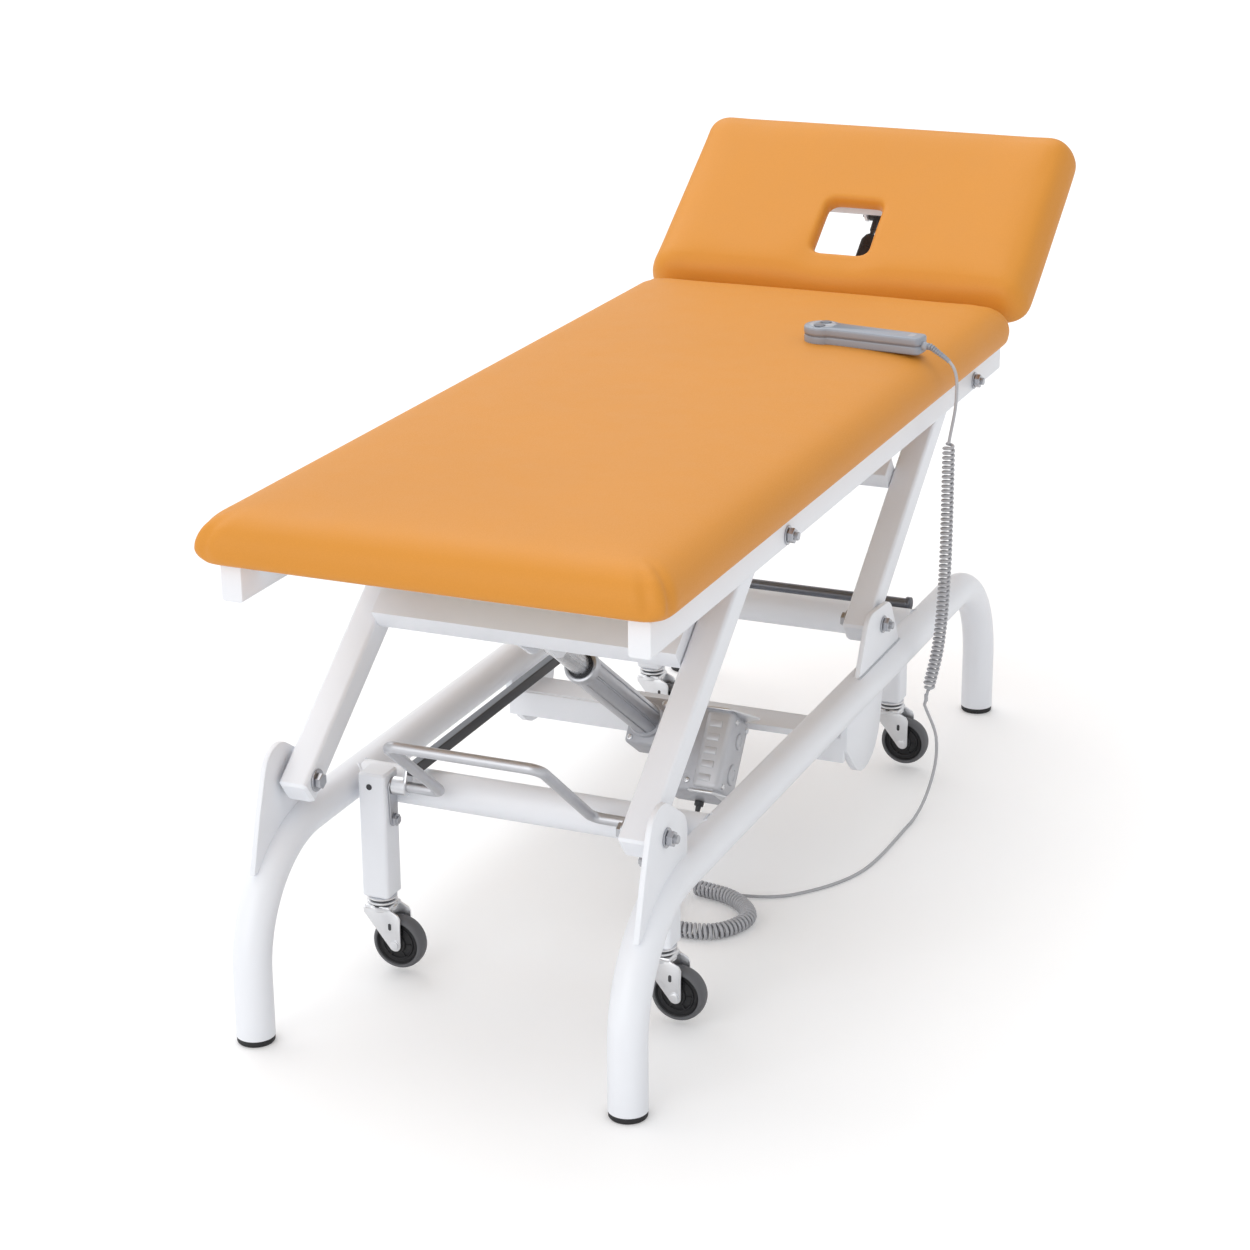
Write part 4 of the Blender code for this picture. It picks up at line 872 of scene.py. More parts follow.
class Form:
    """A mesh under construction from the few shapes that the table is made of."""

    def __init__(self) -> None:
        """Start an empty mesh."""
        self.bm = bmesh.new()
        self.index = 0

    def paint(self, index: int) -> "Form":
        """Choose the material number of what is added next."""
        self.index = index
        return self

    def _keep(self, bm: bmesh.types.BMesh, place: Matrix | None, edge: float = 0.0, angle: float = 40.0,
              steps: int = 2) -> "Form":
        """Bevel a new shape's hard edges, place it and add it.

        Args:
            bm: The new shape; it is freed.
            place: Where it goes.
            edge: Bevel width, or 0.
            angle: Edges sharper than this get it, in degrees.
            steps: Facets of the bevel.

        Returns:
            This form.
        """
        bmesh.ops.remove_doubles(bm, verts=bm.verts, dist=MERGE)
        bmesh.ops.recalc_face_normals(bm, faces=bm.faces)
        soften(bm, edge, angle, steps)
        if place is not None:
            bmesh.ops.transform(bm, matrix=place, verts=bm.verts)
            if place.determinant() < 0.0:
                bmesh.ops.reverse_faces(bm, faces=bm.faces)
        for face in bm.faces:
            face.material_index = self.index
        mesh = bpy.data.meshes.new("shape")
        bm.to_mesh(mesh)
        bm.free()
        self.bm.from_mesh(mesh)
        bpy.data.meshes.remove(mesh)
        return self

    def prism(self, outline: Sequence[Flat], x0: float, x1: float, place: Matrix | None = None,
              edge: float = 0.0012, angle: float = 35.0, steps: int = 2) -> "Form":
        """Add a YZ outline extruded along X.

        Args:
            outline: The closed outline.
            x0: One end.
            x1: The other end, on either side of the first.
            place: Where it goes.
            edge: Bevel width.
            angle: Least angle of a bevelled edge.
            steps: Facets of the bevel.

        Returns:
            This form.
        """
        bm = bmesh.new()
        near = [bm.verts.new((min(x0, x1), a, b)) for a, b in outline]
        far = [bm.verts.new((max(x0, x1), a, b)) for a, b in outline]
        bm.faces.new(near)
        bm.faces.new(list(reversed(far)))
        for i in range(len(outline)):
            j = (i + 1) % len(outline)
            bm.faces.new((near[i], near[j], far[j], far[i]))
        return self._keep(bm, place, edge, angle, steps)

    def block(self, low: Point, high: Point, place: Matrix | None, edge: float, steps: int = 3) -> "Form":
        """Add a box with softened edges."""
        outline = [(low[1], low[2]), (high[1], low[2]), (high[1], high[2]), (low[1], high[2])]
        return self.prism(outline, low[0], high[0], place, edge, 35.0, steps)

    def lathe(self, profile: Sequence[Flat], place: Matrix, sides: int) -> "Form":
        """Add a turned shape around the local Z axis.

        Args:
            profile: Radius and height of each step, from one end to the other.
            place: Where it goes.
            sides: Facets around.

        Returns:
            This form.
        """
        bm = bmesh.new()
        rings = []
        for r, z in profile:
            around = circle((0.0, 0.0), r, sides) if r > 0.0 else [(0.0, 0.0)]
            rings.append([bm.verts.new((a, b, z)) for a, b in around])
        for low, high in zip(rings, rings[1:]):
            for k in range(sides):
                n = (k + 1) % sides
                quad = [low[k % len(low)], low[n % len(low)], high[n % len(high)], high[k % len(high)]]
                face = list(dict.fromkeys(quad))
                if len(face) > 2:
                    bm.faces.new(face)
        for ring in (rings[0], rings[-1]):
            if len(ring) > 1:
                bm.faces.new(ring)
        return self._keep(bm, place)

    def bar(self, section: Sequence[Flat], start: Vector, end: Vector, up: Vector, lip: float) -> "Form":
        """Add a straight bar of one section between two points.

        Args:
            section: Outline across the bar; its second axis runs along up.
            start: One end's centre.
            end: The other end's centre.
            up: Direction of the section's second axis.
            lip: Chamfer at both ends, or 0.

        Returns:
            This form.
        """
        run = end - start
        axis = run.normalized()
        side = up.cross(axis).normalized()
        high = axis.cross(side)
        place = Matrix((side, high, axis)).transposed().to_4x4()
        place.translation = start
        length = run.length
        stations = [(0.0, 0.0), (length, 0.0)]
        if lip > 0.0:
            stations = [(0.0, lip), (lip, 0.0), (length - lip, 0.0), (length, lip)]
        reach = max(max(abs(a), abs(b)) for a, b in section)
        bm = bmesh.new()
        loops = []
        for z, inset in stations:
            share = 1.0 - inset / reach
            loops.append([bm.verts.new((a * share, b * share, z)) for a, b in section])
        loft(bm, loops)
        return self._keep(bm, place)

    def piece(self, name: str, *finishes: Finish, smooth: float = 35.0) -> bpy.types.Object:
        """Turn the form into an object.

        Args:
            name: The piece's name.
            finishes: Its materials, by number.
            smooth: Angle above which edges stay sharp.

        Returns:
            The piece.
        """
        mesh = bpy.data.meshes.new(name)
        self.bm.to_mesh(mesh)
        self.bm.free()
        mesh.shade_smooth()
        mesh.set_sharp_from_angle(angle=math.radians(smooth))
        for finish in finishes:
            mesh.materials.append(finish.material())
        return added(name, mesh)

    def dress(self, node: str, body: str, *finishes: Finish, smooth: float = 35.0) -> None:
        """Turn the form into the skin of one CAD node."""
        fit(self.piece(node + "_skin", *finishes, smooth=smooth), body, finishes[0].slot, node)


def fit(piece: bpy.types.Object, body: str, slot: Slot, *nodes: str) -> bpy.types.Object:
    """Make a piece ride on a body and stand for nodes.

    Args:
        piece: The finished piece.
        body: The body it moves with.
        slot: Its material slot; not used.
        nodes: CAD nodes that it replaces.

    Returns:
        The piece.
    """
    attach(piece, body)
    if nodes:
        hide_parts(*nodes)
    LOG.info("%s on %s", piece.name, body)
    return piece


def refine(node: str, body: str, finish: Finish, edge: float, steps: int = 2) -> None:
    """Dress a CAD node with a merged copy that has softened edges.

    Args:
        node: The node.
        body: The body it moves with.
        finish: The copy's finish.
        edge: Bevel width.
        steps: Facets of the bevel.
    """
    bm = bmesh.new()
    bm.from_mesh(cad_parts[node].data)
    bmesh.ops.remove_doubles(bm, verts=bm.verts, dist=CAD_MERGE)
    bmesh.ops.dissolve_limit(bm, angle_limit=CAD_FLAT, verts=bm.verts, edges=bm.edges)
    soften(bm, edge, 38.0, steps)
    form = Form()
    form.bm.free()
    form.bm = bm
    for face in bm.faces:
        face.material_index = 0
    form.dress(node, body, finish)


def axis_x(point: Flat, x: float, side: float = 1.0) -> Matrix:
    """Return the place of a turned shape whose axis runs along X, outwards on one side."""
    return Matrix.Translation((x, *point)) @ Matrix.Rotation(side * QUARTER, 4, "Y")


@dataclass
class Studio:
    """Camera, soft light and pale floor."""

    camera_at: Point = (1.5175, -3.7894, 1.7728)
    azimuth: float = math.radians(23.283)
    tilt: float = math.radians(19.634)
    roll: float = math.radians(-0.479)
    focal: float = 2914.2
    frame_px: float = 1250.0
    sensor: float = 36.0
    suns: tuple[tuple[str, float, float, Point], ...] = (("key", 1.2, 60.0, (-20.0, -25.0, 0.0)),
                                                         ("fill", 0.8, 50.0, (66.0, 0.0, -12.0)))
    room: float = 0.73
    backdrop: float = 1.0
    floor_half: float = 60.0
    floor_colour: Colour = (0.87, 0.87, 0.875)
    floor_glow: float = 0.17

    def camera(self) -> None:
        """Set the photograph's camera, tilted and without shift."""
        lens = bpy.data.cameras.new("camera")
        lens.sensor_width = self.sensor
        lens.lens = self.sensor * self.focal / self.frame_px
        lens.clip_end = 200.0
        made = added("camera", lens)
        made.matrix_world = (Matrix.Translation(self.camera_at) @ Matrix.Rotation(self.azimuth, 4, "Z")
                             @ Matrix.Rotation(QUARTER - self.tilt, 4, "X")
                             @ Matrix.Rotation(self.roll, 4, "Z"))
        bpy.context.scene.camera = made

    def light(self) -> None:
        """Light the room evenly, with two broad suns for soft shadows."""
        for name, strength, angle, turn in self.suns:
            lamp = bpy.data.lights.new(name, "SUN")
            lamp.energy = strength
            lamp.angle = math.radians(angle)
            added(name, lamp).rotation_euler = [math.radians(v) for v in turn]
        world = bpy.data.worlds.new("room")
        world.use_nodes = True
        tree = world.node_tree
        tree.nodes.clear()
        path = add_node(tree, "ShaderNodeLightPath").outputs
        seen = add_node(tree, "ShaderNodeMath", {"operation": "MAXIMUM"},
                        {0: path["Is Camera Ray"], 1: path["Is Transmission Ray"]})
        soft, white = [add_node(tree, "ShaderNodeBackground", None,
                                {"Color": (1.0, 1.0, 1.0), "Strength": strength})
                       for strength in (self.room, self.backdrop)]
        mix = add_node(tree, "ShaderNodeMixShader", None,
                       {0: seen.outputs[0], 1: soft.outputs[0], 2: white.outputs[0]})
        add_node(tree, "ShaderNodeOutputWorld", None, {0: mix.outputs[0]})
        bpy.context.scene.world = world

    def floor(self) -> None:
        """Lay a wide pale floor that shows white and keeps the shadow."""
        h = self.floor_half
        mesh = bpy.data.meshes.new("floor")
        mesh.from_pydata([(-h, -h, 0.0), (h, -h, 0.0), (h, h, 0.0), (-h, h, 0.0)], [], [(0, 1, 2, 3)])
        made = added("floor", mesh)
        shade = Shade("pale_floor")
        shade.set(Base_Color=self.floor_colour, Roughness=0.9, Specular_IOR_Level=0.1)
        path = shade.node("ShaderNodeLightPath")
        seen = Wire(shade, path.outputs["Is Camera Ray"]) + Wire(shade, path.outputs["Is Transmission Ray"])
        glow = shade.node("ShaderNodeEmission", None,
                          {"Color": (1.0, 1.0, 1.0), "Strength": seen * self.floor_glow})
        both = shade.node("ShaderNodeAddShader", None, {0: shade.skin.outputs[0], 1: glow.outputs[0]})
        feed(shade.tree, shade.tree.nodes["Material Output"].inputs["Surface"], both.outputs[0])
        mesh.materials.append(shade.made)

    def build(self) -> None:
        """Set up the whole studio."""
        bpy.context.scene.view_settings.view_transform = "Standard"
        self.camera()
        self.light()
        self.floor()


@dataclass
class HandsetCable:
    """Curly handset cable: hanging coil, run along the floor and loose coil to the motor."""

    wire_r: float = 0.0024
    coil_r: float = 0.0072
    loose_r: float = 0.0095
    turns_hanging: int = 54
    turns_loose: int = 56
    per_turn: int = 14
    edge_x: float = 0.340
    coil_top: float = 0.590
    coil_low: float = 0.200
    floor: float = 0.0030
    exit_z: float = 0.012
    plug: Point = (0.085, 0.030, 0.094)
    lift_off: Point = (0.082, lay(0.672), 0.030)
    floor_bend: Point = (0.310, lay(1.07), 0.008)

    @property
    def coil_start(self) -> Point:
        """Return the top of the hanging coil."""
        return (self.edge_x - 0.006, lay(1.090), self.coil_top)

    def wind(self, spine: np.ndarray, turns: int, radius: float) -> np.ndarray:
        """Wind a curl around a spine.

        Args:
            spine: Evenly spaced points.
            turns: Number of curls.
            radius: Radius of the curl's middle line.

        Returns:
            Points along the curl.
        """
        count = turns * self.per_turn
        run = np.linspace(0.0, len(spine) - 1.0, count + 1)
        base = np.stack([np.interp(run, np.arange(len(spine)), spine[:, k]) for k in range(3)], axis=1)
        ahead = np.gradient(base, axis=0)
        ahead /= np.linalg.norm(ahead, axis=1)[:, None]
        side = np.cross(ahead[0], (0.31, 0.42, 0.85))
        out = []
        for i in range(count + 1):
            side = side - ahead[i] * np.dot(side, ahead[i])
            side /= np.linalg.norm(side)
            up = np.cross(ahead[i], side)
            a = 2.0 * math.pi * i / self.per_turn
            grow = min(1.0, i / self.per_turn, (count - i) / self.per_turn)
            out.append(base[i] + radius * grow * (side * math.cos(a) + up * math.sin(a)))
        return np.array(out)

    def hand_point(self, past: float) -> np.ndarray:
        """Return the point on the handset's middle line that lies past its end."""
        c, s = unit(HANDSET_TURN)
        x = HANDSET_HALF + past
        return np.array([HANDSET_AT[0] + x * c, HANDSET_AT[1] + x * s, HANDSET_AT[2] + self.exit_z])

    def routes(self) -> dict[str, np.ndarray]:
        """Return the points of the three runs of cable."""
        e = self.edge_x
        leave = self.hand_point(SEAT)
        lead = smooth_path([self.hand_point(0.012), (e - 0.004, lay(1.096), 0.700),
                            (e + 0.002, lay(1.093), 0.652), self.coil_start], 26)
        hang = smooth_path([self.coil_start, (e - 0.006, lay(1.090), 0.40), (e - 0.012, lay(1.089), 0.28),
                            (e - 0.026, lay(1.086), self.coil_low)], 120)
        tail = (hang[-1] - hang[-3]) / np.linalg.norm(hang[-1] - hang[-3])
        joint = hang[-1] + tail * 0.012
        f = self.floor
        low = self.loose_r + f
        first, last = (0.098, lay(0.678), low), (0.080, lay(0.632), low + 0.002)
        run = smooth_path([joint + tail * 0.012, (e - 0.020, lay(1.118), 0.110),
                           (e - 0.024, lay(1.112), 0.045), (e - 0.031, lay(1.036), f),
                           (0.297, lay(0.838), f), (0.232, lay(0.725), f), (0.155, lay(0.686), 0.006),
                           first], 60)
        run[:, 2] = np.maximum(run[:, 2], f)
        loop = smooth_path([first, (0.165, lay(0.661), low), (0.206, lay(0.612), low),
                            (0.183, lay(0.555), low), (0.124, lay(0.542), low), (0.082, lay(0.581), low),
                            last], 160)
        down = np.array([0.0, *unit(LIFT_ANGLE + QUARTER)])
        plug = np.array([self.plug[0], *along(LIFT_FOOT, LIFT_ANGLE, *self.plug[1:])]) + down * SEAT
        rise = smooth_path([last, self.lift_off, plug + down * 0.030, plug + down * 0.010], 18)
        tight = self.wind(hang, self.turns_hanging, self.coil_r)
        slack = self.wind(loop, self.turns_loose, self.loose_r)
        return {"hanging": np.vstack([leave, lead[:-1], tight, joint]), "floor": np.vstack([joint, run]),
                "loose": np.vstack([slack, rise[1:], plug])}

    def sleeve(self, name: str, at: np.ndarray, way: np.ndarray) -> bpy.types.Object:
        """Return a short moulded sleeve over a joint of the cable.

        Args:
            name: The piece's name.
            at: Its middle.
            way: Direction of the cable there.

        Returns:
            The piece.
        """
        turn = Vector((0.0, 0.0, 1.0)).rotation_difference(Vector(way)).to_matrix().to_4x4()
        half = [(self.wire_r * wide, z) for wide, z in ((1.02, 0.006), (1.18, 0.0052), (1.25, 0.003))]
        return Form().lathe(mirrored(half), Matrix.Translation(at) @ turn, 20).piece(name, SHADES.cable)

    def gland(self, at: np.ndarray, way: np.ndarray) -> None:
        """Set the tapered sleeve where the cable enters the motor.

        Args:
            at: The cable's end.
            way: Its direction there.
        """
        turn = Vector((0.0, 0.0, -1.0)).rotation_difference(Vector(way)).to_matrix().to_4x4()
        r = self.wire_r
        profile = [(r * 1.03, 0.020), (r * 1.4, 0.019), (r * 1.7, 0.008), (0.0068, 0.0075),
                   (0.0068, 0.0004), (0.0, 0.0004)]
        made = Form().lathe(profile, Matrix.Translation(at) @ turn, 24).piece("motor_gland", SHADES.dark)
        fit(made, "lift_motor", Slot.DARK)

    def build(self) -> None:
        routes = self.routes()
        tubes = {}
        for key, points in routes.items():
            tubes[key] = RIGS.tube.grow("cable_" + key, line_mesh(points), SHADES.cable, 60.0,
                                        Radius=self.wire_r, Sides=12)
        hanging, floor, loose = routes["hanging"], routes["floor"], routes["loose"]
        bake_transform(tubes["hanging"])
        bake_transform(tubes["floor"])
        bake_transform(tubes["loose"])
        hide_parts("cable_upper")
        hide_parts("cable_lower")
        low = self.sleeve("cable_sleeve_low", floor[0], floor[2] - floor[0])
        fit(low, "rear_arms", Slot.CABLE)
        near = self.sleeve("cable_sleeve_near", loose[0], floor[-1] - floor[-3])
        fit(near, "base", Slot.CABLE)
        self.gland(loose[-1], loose[-1] - loose[-2])
        ends = {"hanging": ("connector", "hanging", [low]), "floor": ("connector", "loose", [near]),
                "loose": ("object", "loose", [])}
        for key, (end, rest, extra) in ends.items():
            LOG.info("cable_%s %.3f m", key, line_length(routes[key]))


@dataclass(frozen=True)
class FaceHole:
    """Face hole of the head pad: a short rim over a wider recess."""

    centre: float = 0.138
    width: float = 0.094
    length: float = 0.114
    rim: float = 0.027
    side: float = 0.028
    low: float = 0.005
    high: float = 0.052


@dataclass
class PadForm:
    """One upholstered pad, laid flat, with its sizes."""

    name: str
    body: str
    half_x: float
    y0: float
    y1: float
    base_z: float
    height: float
    place: Matrix
    hole: FaceHole | None = None
    corner: float = 0.036
    shrink: float = 0.0016
    voxel: float = 0.0085
    cap: float = 0.004
    soft: float = 0.9
    under: float = 0.0004
    profile: tuple[Flat, ...] = ((0.014, 0.0), (0.005, 0.06), (0.001, 0.18), (0.0, 0.32), (0.001, 0.44),
                                 (0.004, 0.56), (0.009, 0.67), (0.0155, 0.77), (0.024, 0.86),
                                 (0.034, 0.925), (0.046, 0.968), (0.060, 0.99), (0.078, 1.0))
    fold: float = 0.09
    fold_from: float = 0.045
    fold_over: float = 0.055
    fold_foot: Flat = (0.006, 0.012)
    pleats: tuple[Flat, ...] = ((36.0, 0.0042), (54.0, 0.0032))
    groove: float = 0.0075
    ridge: Point = (0.30, 0.014, 0.009)
    held_h: float = 0.010
    frames: int = 20

    def shell(self) -> bpy.types.Mesh:
        """Return the start shape, a little smaller than the pad."""
        loops = []
        for inset, share in ((a * self.soft, b) for a, b in self.profile):
            ring = []
            step = inset + self.shrink
            radius = max(self.corner - inset * 0.55, 0.014)
            z = self.base_z + self.under + share * (self.height - self.shrink - self.under)
            for sx, sy, start in ((1, 1, 0.0), (-1, 1, 0.5), (-1, -1, 1.0), (1, -1, 1.5)):
                cx = sx * (self.half_x - step - radius)
                cy = (self.y1 - step - radius) if sy > 0 else (self.y0 + step + radius)
                for k in range(11):
                    c, s = unit(math.pi * (start + k / 20.0))
                    ring.append((cx + radius * c, cy + radius * s, z))
            loops.append(ring)
        return lofted(self.name, loops)

    def plug(self, rings: Sequence[tuple[float, list[Flat]]]) -> bpy.types.Object:
        """Return a closed plug through outlines at their heights."""
        loops = [[(a, b, z) for a, b in outline] for z, outline in rings]
        return added("face_plug", lofted("face_plug", loops))

    def cutters(self) -> list[bpy.types.Object]:
        """Return the plugs that cut the face hole and the recess under it."""
        hole = self.hole
        top = self.base_z + self.height
        mid = hole.centre + (hole.high - hole.low) / 2.0
        wide = round_rect(hole.width + 2.0 * hole.side, hole.length + hole.low + hole.high, 0.012, 4)
        recess = [(a, mid + b) for a, b in wide]
        rings = []
        for z, grow in ((self.base_z - 0.02, 0.0), (top - 0.010, 0.0), (top - 0.005, 0.0015),
                        (top - 0.001, 0.0045), (top + 0.010, 0.012)):
            outline = round_rect(hole.width + 2.0 * grow, hole.length + 2.0 * grow, 0.014 + grow, 6)
            rings.append((z, [(a, hole.centre + b) for a, b in outline]))
        return [self.plug([(self.base_z - 0.02, recess), (top - hole.rim, recess)]), self.plug(rings)]

    @staticmethod
    def ease(mesh: bpy.types.Mesh, moved: np.ndarray, rounds: int = 40) -> np.ndarray:
        """Spread a movement over neighbouring points, so that no crease is left.

        Args:
            mesh: The pad's mesh.
            moved: The movement of each point.
            rounds: How often it is averaged.

        Returns:
            The spread movement.
        """
        count = len(mesh.vertices)
        ends = np.empty(2 * len(mesh.edges), dtype=np.int32)
        mesh.edges.foreach_get("vertices", ends)
        a, b = ends[0::2], ends[1::2]
        share = np.bincount(ends, minlength=count).astype(float)
        for _ in range(rounds):
            near = [np.bincount(a, moved[b, k], count) + np.bincount(b, moved[a, k], count) for k in range(3)]
            moved = 0.5 * moved + 0.5 * np.stack(near, axis=1) / share[:, None]
        return moved

    def swell(self, made: bpy.types.Object) -> None:
        """Blow the cover up with a short cloth simulation, its underside held.

        Args:
            made: The pad.
        """
        scene = bpy.context.scene
        rest = np.array([v.co for v in made.data.vertices])
        held = made.vertex_groups.new(name="held")
        held.add([i for i, p in enumerate(rest) if p[2] < self.base_z + self.held_h], 1.0, "REPLACE")
        cloth = made.modifiers.new("swell", "CLOTH")
        cover = {"quality": 4, "mass": 0.3, "tension_stiffness": 20.0, "compression_stiffness": 20.0,
                 "shear_stiffness": 8.0, "bending_stiffness": 0.8, "use_pressure": True,
                 "uniform_pressure_force": 4.0, "vertex_group_mass": held.name}
        for key, value in cover.items():
            setattr(cloth.settings, key, value)
        cloth.settings.effector_weights.gravity = 0.0
        cloth.collision_settings.use_collision = False
        cloth.point_cache.frame_start = 1
        cloth.point_cache.frame_end = self.frames
        for number in range(1, self.frames + 1):
            scene.frame_set(number)
        view = bpy.context.evaluated_depsgraph_get()
        shown = made.evaluated_get(view).to_mesh()
        moved = np.array([v.co for v in shown.vertices]) - rest
        made.evaluated_get(view).to_mesh_clear()
        made.modifiers.remove(cloth)
        size = np.linalg.norm(moved, axis=1)
        moved *= (np.minimum(size, self.cap) / np.maximum(size, 1e-9))[:, None]
        moved = self.ease(made.data, moved)
        made.data.vertices.foreach_set("co", (rest + moved).astype(np.float32).ravel())
        made.data.update()
        scene.frame_set(1)
        made.vertex_groups.remove(held)

    def tuck(self, mesh: bpy.types.Mesh) -> None:
        """Press two soft pleats into each corner of the cover.

        Args:
            mesh: The pad's mesh, lying flat.
        """
        count = len(mesh.vertices)
        co, normal = np.empty(3 * count, np.float32), np.empty(3 * count, np.float32)
        mesh.vertices.foreach_get("co", co)
        mesh.vertices.foreach_get("normal", normal)
        co, normal = co.reshape(-1, 3), normal.reshape(-1, 3)
        depth = np.zeros(count)
        share, beside, wide = self.ridge
        start, over = self.fold_foot
        for sx in (-1.0, 1.0):
            for sy, end in ((-1.0, self.y0), (1.0, self.y1)):
                dx = (co[:, 0] - sx * (self.half_x - self.fold)) * sx
                dy = (co[:, 1] - (end - sy * self.fold)) * sy
                reach = np.hypot(dx, dy)
                fade = np.clip((reach - self.fold_from) / self.fold_over, 0.0, 1.0) * (dx > 0.0) * (dy > 0.0)
                for lean, deep in self.pleats:
                    off = reach * (np.arctan2(dy, dx) - math.radians(lean))
                    groove = np.exp(-(off / self.groove) ** 2)
                    ridge = share * np.exp(-((off - beside) / wide) ** 2)
                    depth += deep * fade * (groove - ridge)
        depth *= np.clip((co[:, 2] - self.base_z - start) / over, 0.0, 1.0)
        mesh.vertices.foreach_set("co", (co - normal * depth[:, None]).astype(np.float32).ravel())
        mesh.update()

    def build(self) -> bpy.types.Object:
        """Form, remesh, swell and smooth the pad.

        Returns:
            The pad.
        """
        made = added(self.name + "_cover", self.shell())
        for plug in self.cutters() if self.hole else ():
            carve(made, plug)
        rework(made, "REMESH", mode="VOXEL", voxel_size=self.voxel)
        rework(made, "SMOOTH", factor=0.5, iterations=6)
        self.swell(made)
        rework(made, "SMOOTH", factor=0.5, iterations=3)
        rework(made, "SUBSURF", levels=1, render_levels=1)
        if self.hole is None:
            self.tuck(made.data)
        for v in made.data.vertices:
            v.co.z = max(v.co.z, self.base_z + SEAT)
        made.data.transform(self.place)
        made.data.materials.clear()
        made.data.materials.append(SHADES.vinyl.material())
        made.data.shade_smooth()
        return fit(made, self.body, Slot.VINYL, self.name)


@dataclass
class Upholstery:
    """Both pads and the board under the long one."""

    half_x: float = 0.324
    foot_y: float = lay(0.034)
    end_y: float = lay(1.494)
    under_z: float = 0.645
    thick: float = 0.069
    head_u: float = 0.010
    head_length: float = 0.383
    lug_gap: float = 0.003
    head_angle: float = math.radians(35.0)
    hole: FaceHole = FaceHole()

    def build(self) -> None:
        """Make the pads and dress the board."""
        PadForm("main_pad", "top", self.half_x, self.foot_y, self.end_y, self.under_z, self.thick,
                Matrix.Identity(4)).build()
        tip = Matrix.Translation((0.0, *HINGE)) @ Matrix.Rotation(self.head_angle, 4, "X")
        PadForm("head_pad", "head", self.half_x, self.head_u + self.lug_gap, self.head_u + self.head_length,
                self.under_z - HINGE[1], self.thick, tip, self.hole, shrink=0.0004, voxel=0.0046,
                soft=0.48).build()
        refine("main_board", "top", SHADES.ply, 0.0008)


@dataclass
class Bolts:
    """Pivot bolts with washers, nuts and shiny stubs, set by a node tree."""

    nut_r: float = 0.0105

    def nut(self) -> bpy.types.Object:
        """Return the outer end's shape: washer, chamfered hex nut and stub along Z."""
        form = Form()
        here = Matrix.Identity(4)
        form.lathe([(0.0, SEAT), (0.0128, SEAT), (0.013, 0.0008), (0.013, 0.0020), (0.0124, 0.0025),
                    (0.0, 0.0025)], here, 32)
        self._hex(form, 0.0025, 0.0110)
        stub = [(0.0058, 0.0105), (0.0058, 0.0118)]
        for k in range(3):
            stub += [(0.0053, 0.0122 + k * 0.0012), (0.0059, 0.0128 + k * 0.0012)]
        form.lathe([(0.0, 0.0105)] + stub + [(0.0050, 0.0163), (0.0040, 0.0165), (0.0, 0.0165)], here, 20)
        return form.piece("nut_shape", SHADES.bolt)

    def head(self) -> bpy.types.Object:
        """Return the inner end's shape: washer and flanged hex head along Z."""
        form = Form()
        form.lathe([(0.0, SEAT), (0.0148, SEAT), (0.015, 0.0007), (0.015, 0.0019), (0.0144, 0.0025),
                    (0.0, 0.0025)], Matrix.Identity(4), 32)
        self._hex(form, 0.0025, 0.0098)
        return form.piece("head_shape", SHADES.bolt)

    def _hex(self, form: Form, z0: float, z1: float) -> None:
        """Add a hex prism between two heights, with its outer corners turned down."""
        section = circle((0.0, 0.0), self.nut_r, 6)
        form.bar(section, Vector((0.0, 0.0, z0)), Vector((0.0, 0.0, z1)), Vector((0.0, 1.0, 0.0)), 0.0009)

    def place(self, name: str, body: str, pivots: Sequence[Flat], x_out: float, x_in: float) -> None:
        """Set nuts and heads at pivots on both sides.

        Args:
            name: The CAD bolts' name, without end and side.
            body: The body they ride on.
            pivots: Their centres.
            x_out: X of the outer face, on the right side.
            x_in: X of the inner face.
        """
        nodes = [name + "_" + corner for corner in CORNERS]
        for tag, model, x, way, stands_for in (("nuts", self.nut(), x_out, QUARTER, nodes),
                                               ("heads", self.head(), x_in, -QUARTER, ())):
            places = [((s.value * x, *pivot), (0.0, s.value * way, 0.0)) for pivot in pivots for s in Side]
            made = RIGS.copies.grow(name + "s_" + tag, point_mesh(places), SHADES.bolt, 30.0, Shape=model)
            fit(made, body, Slot.ZINC, *stands_for)
            bpy.data.objects.remove(model, do_unlink=True)


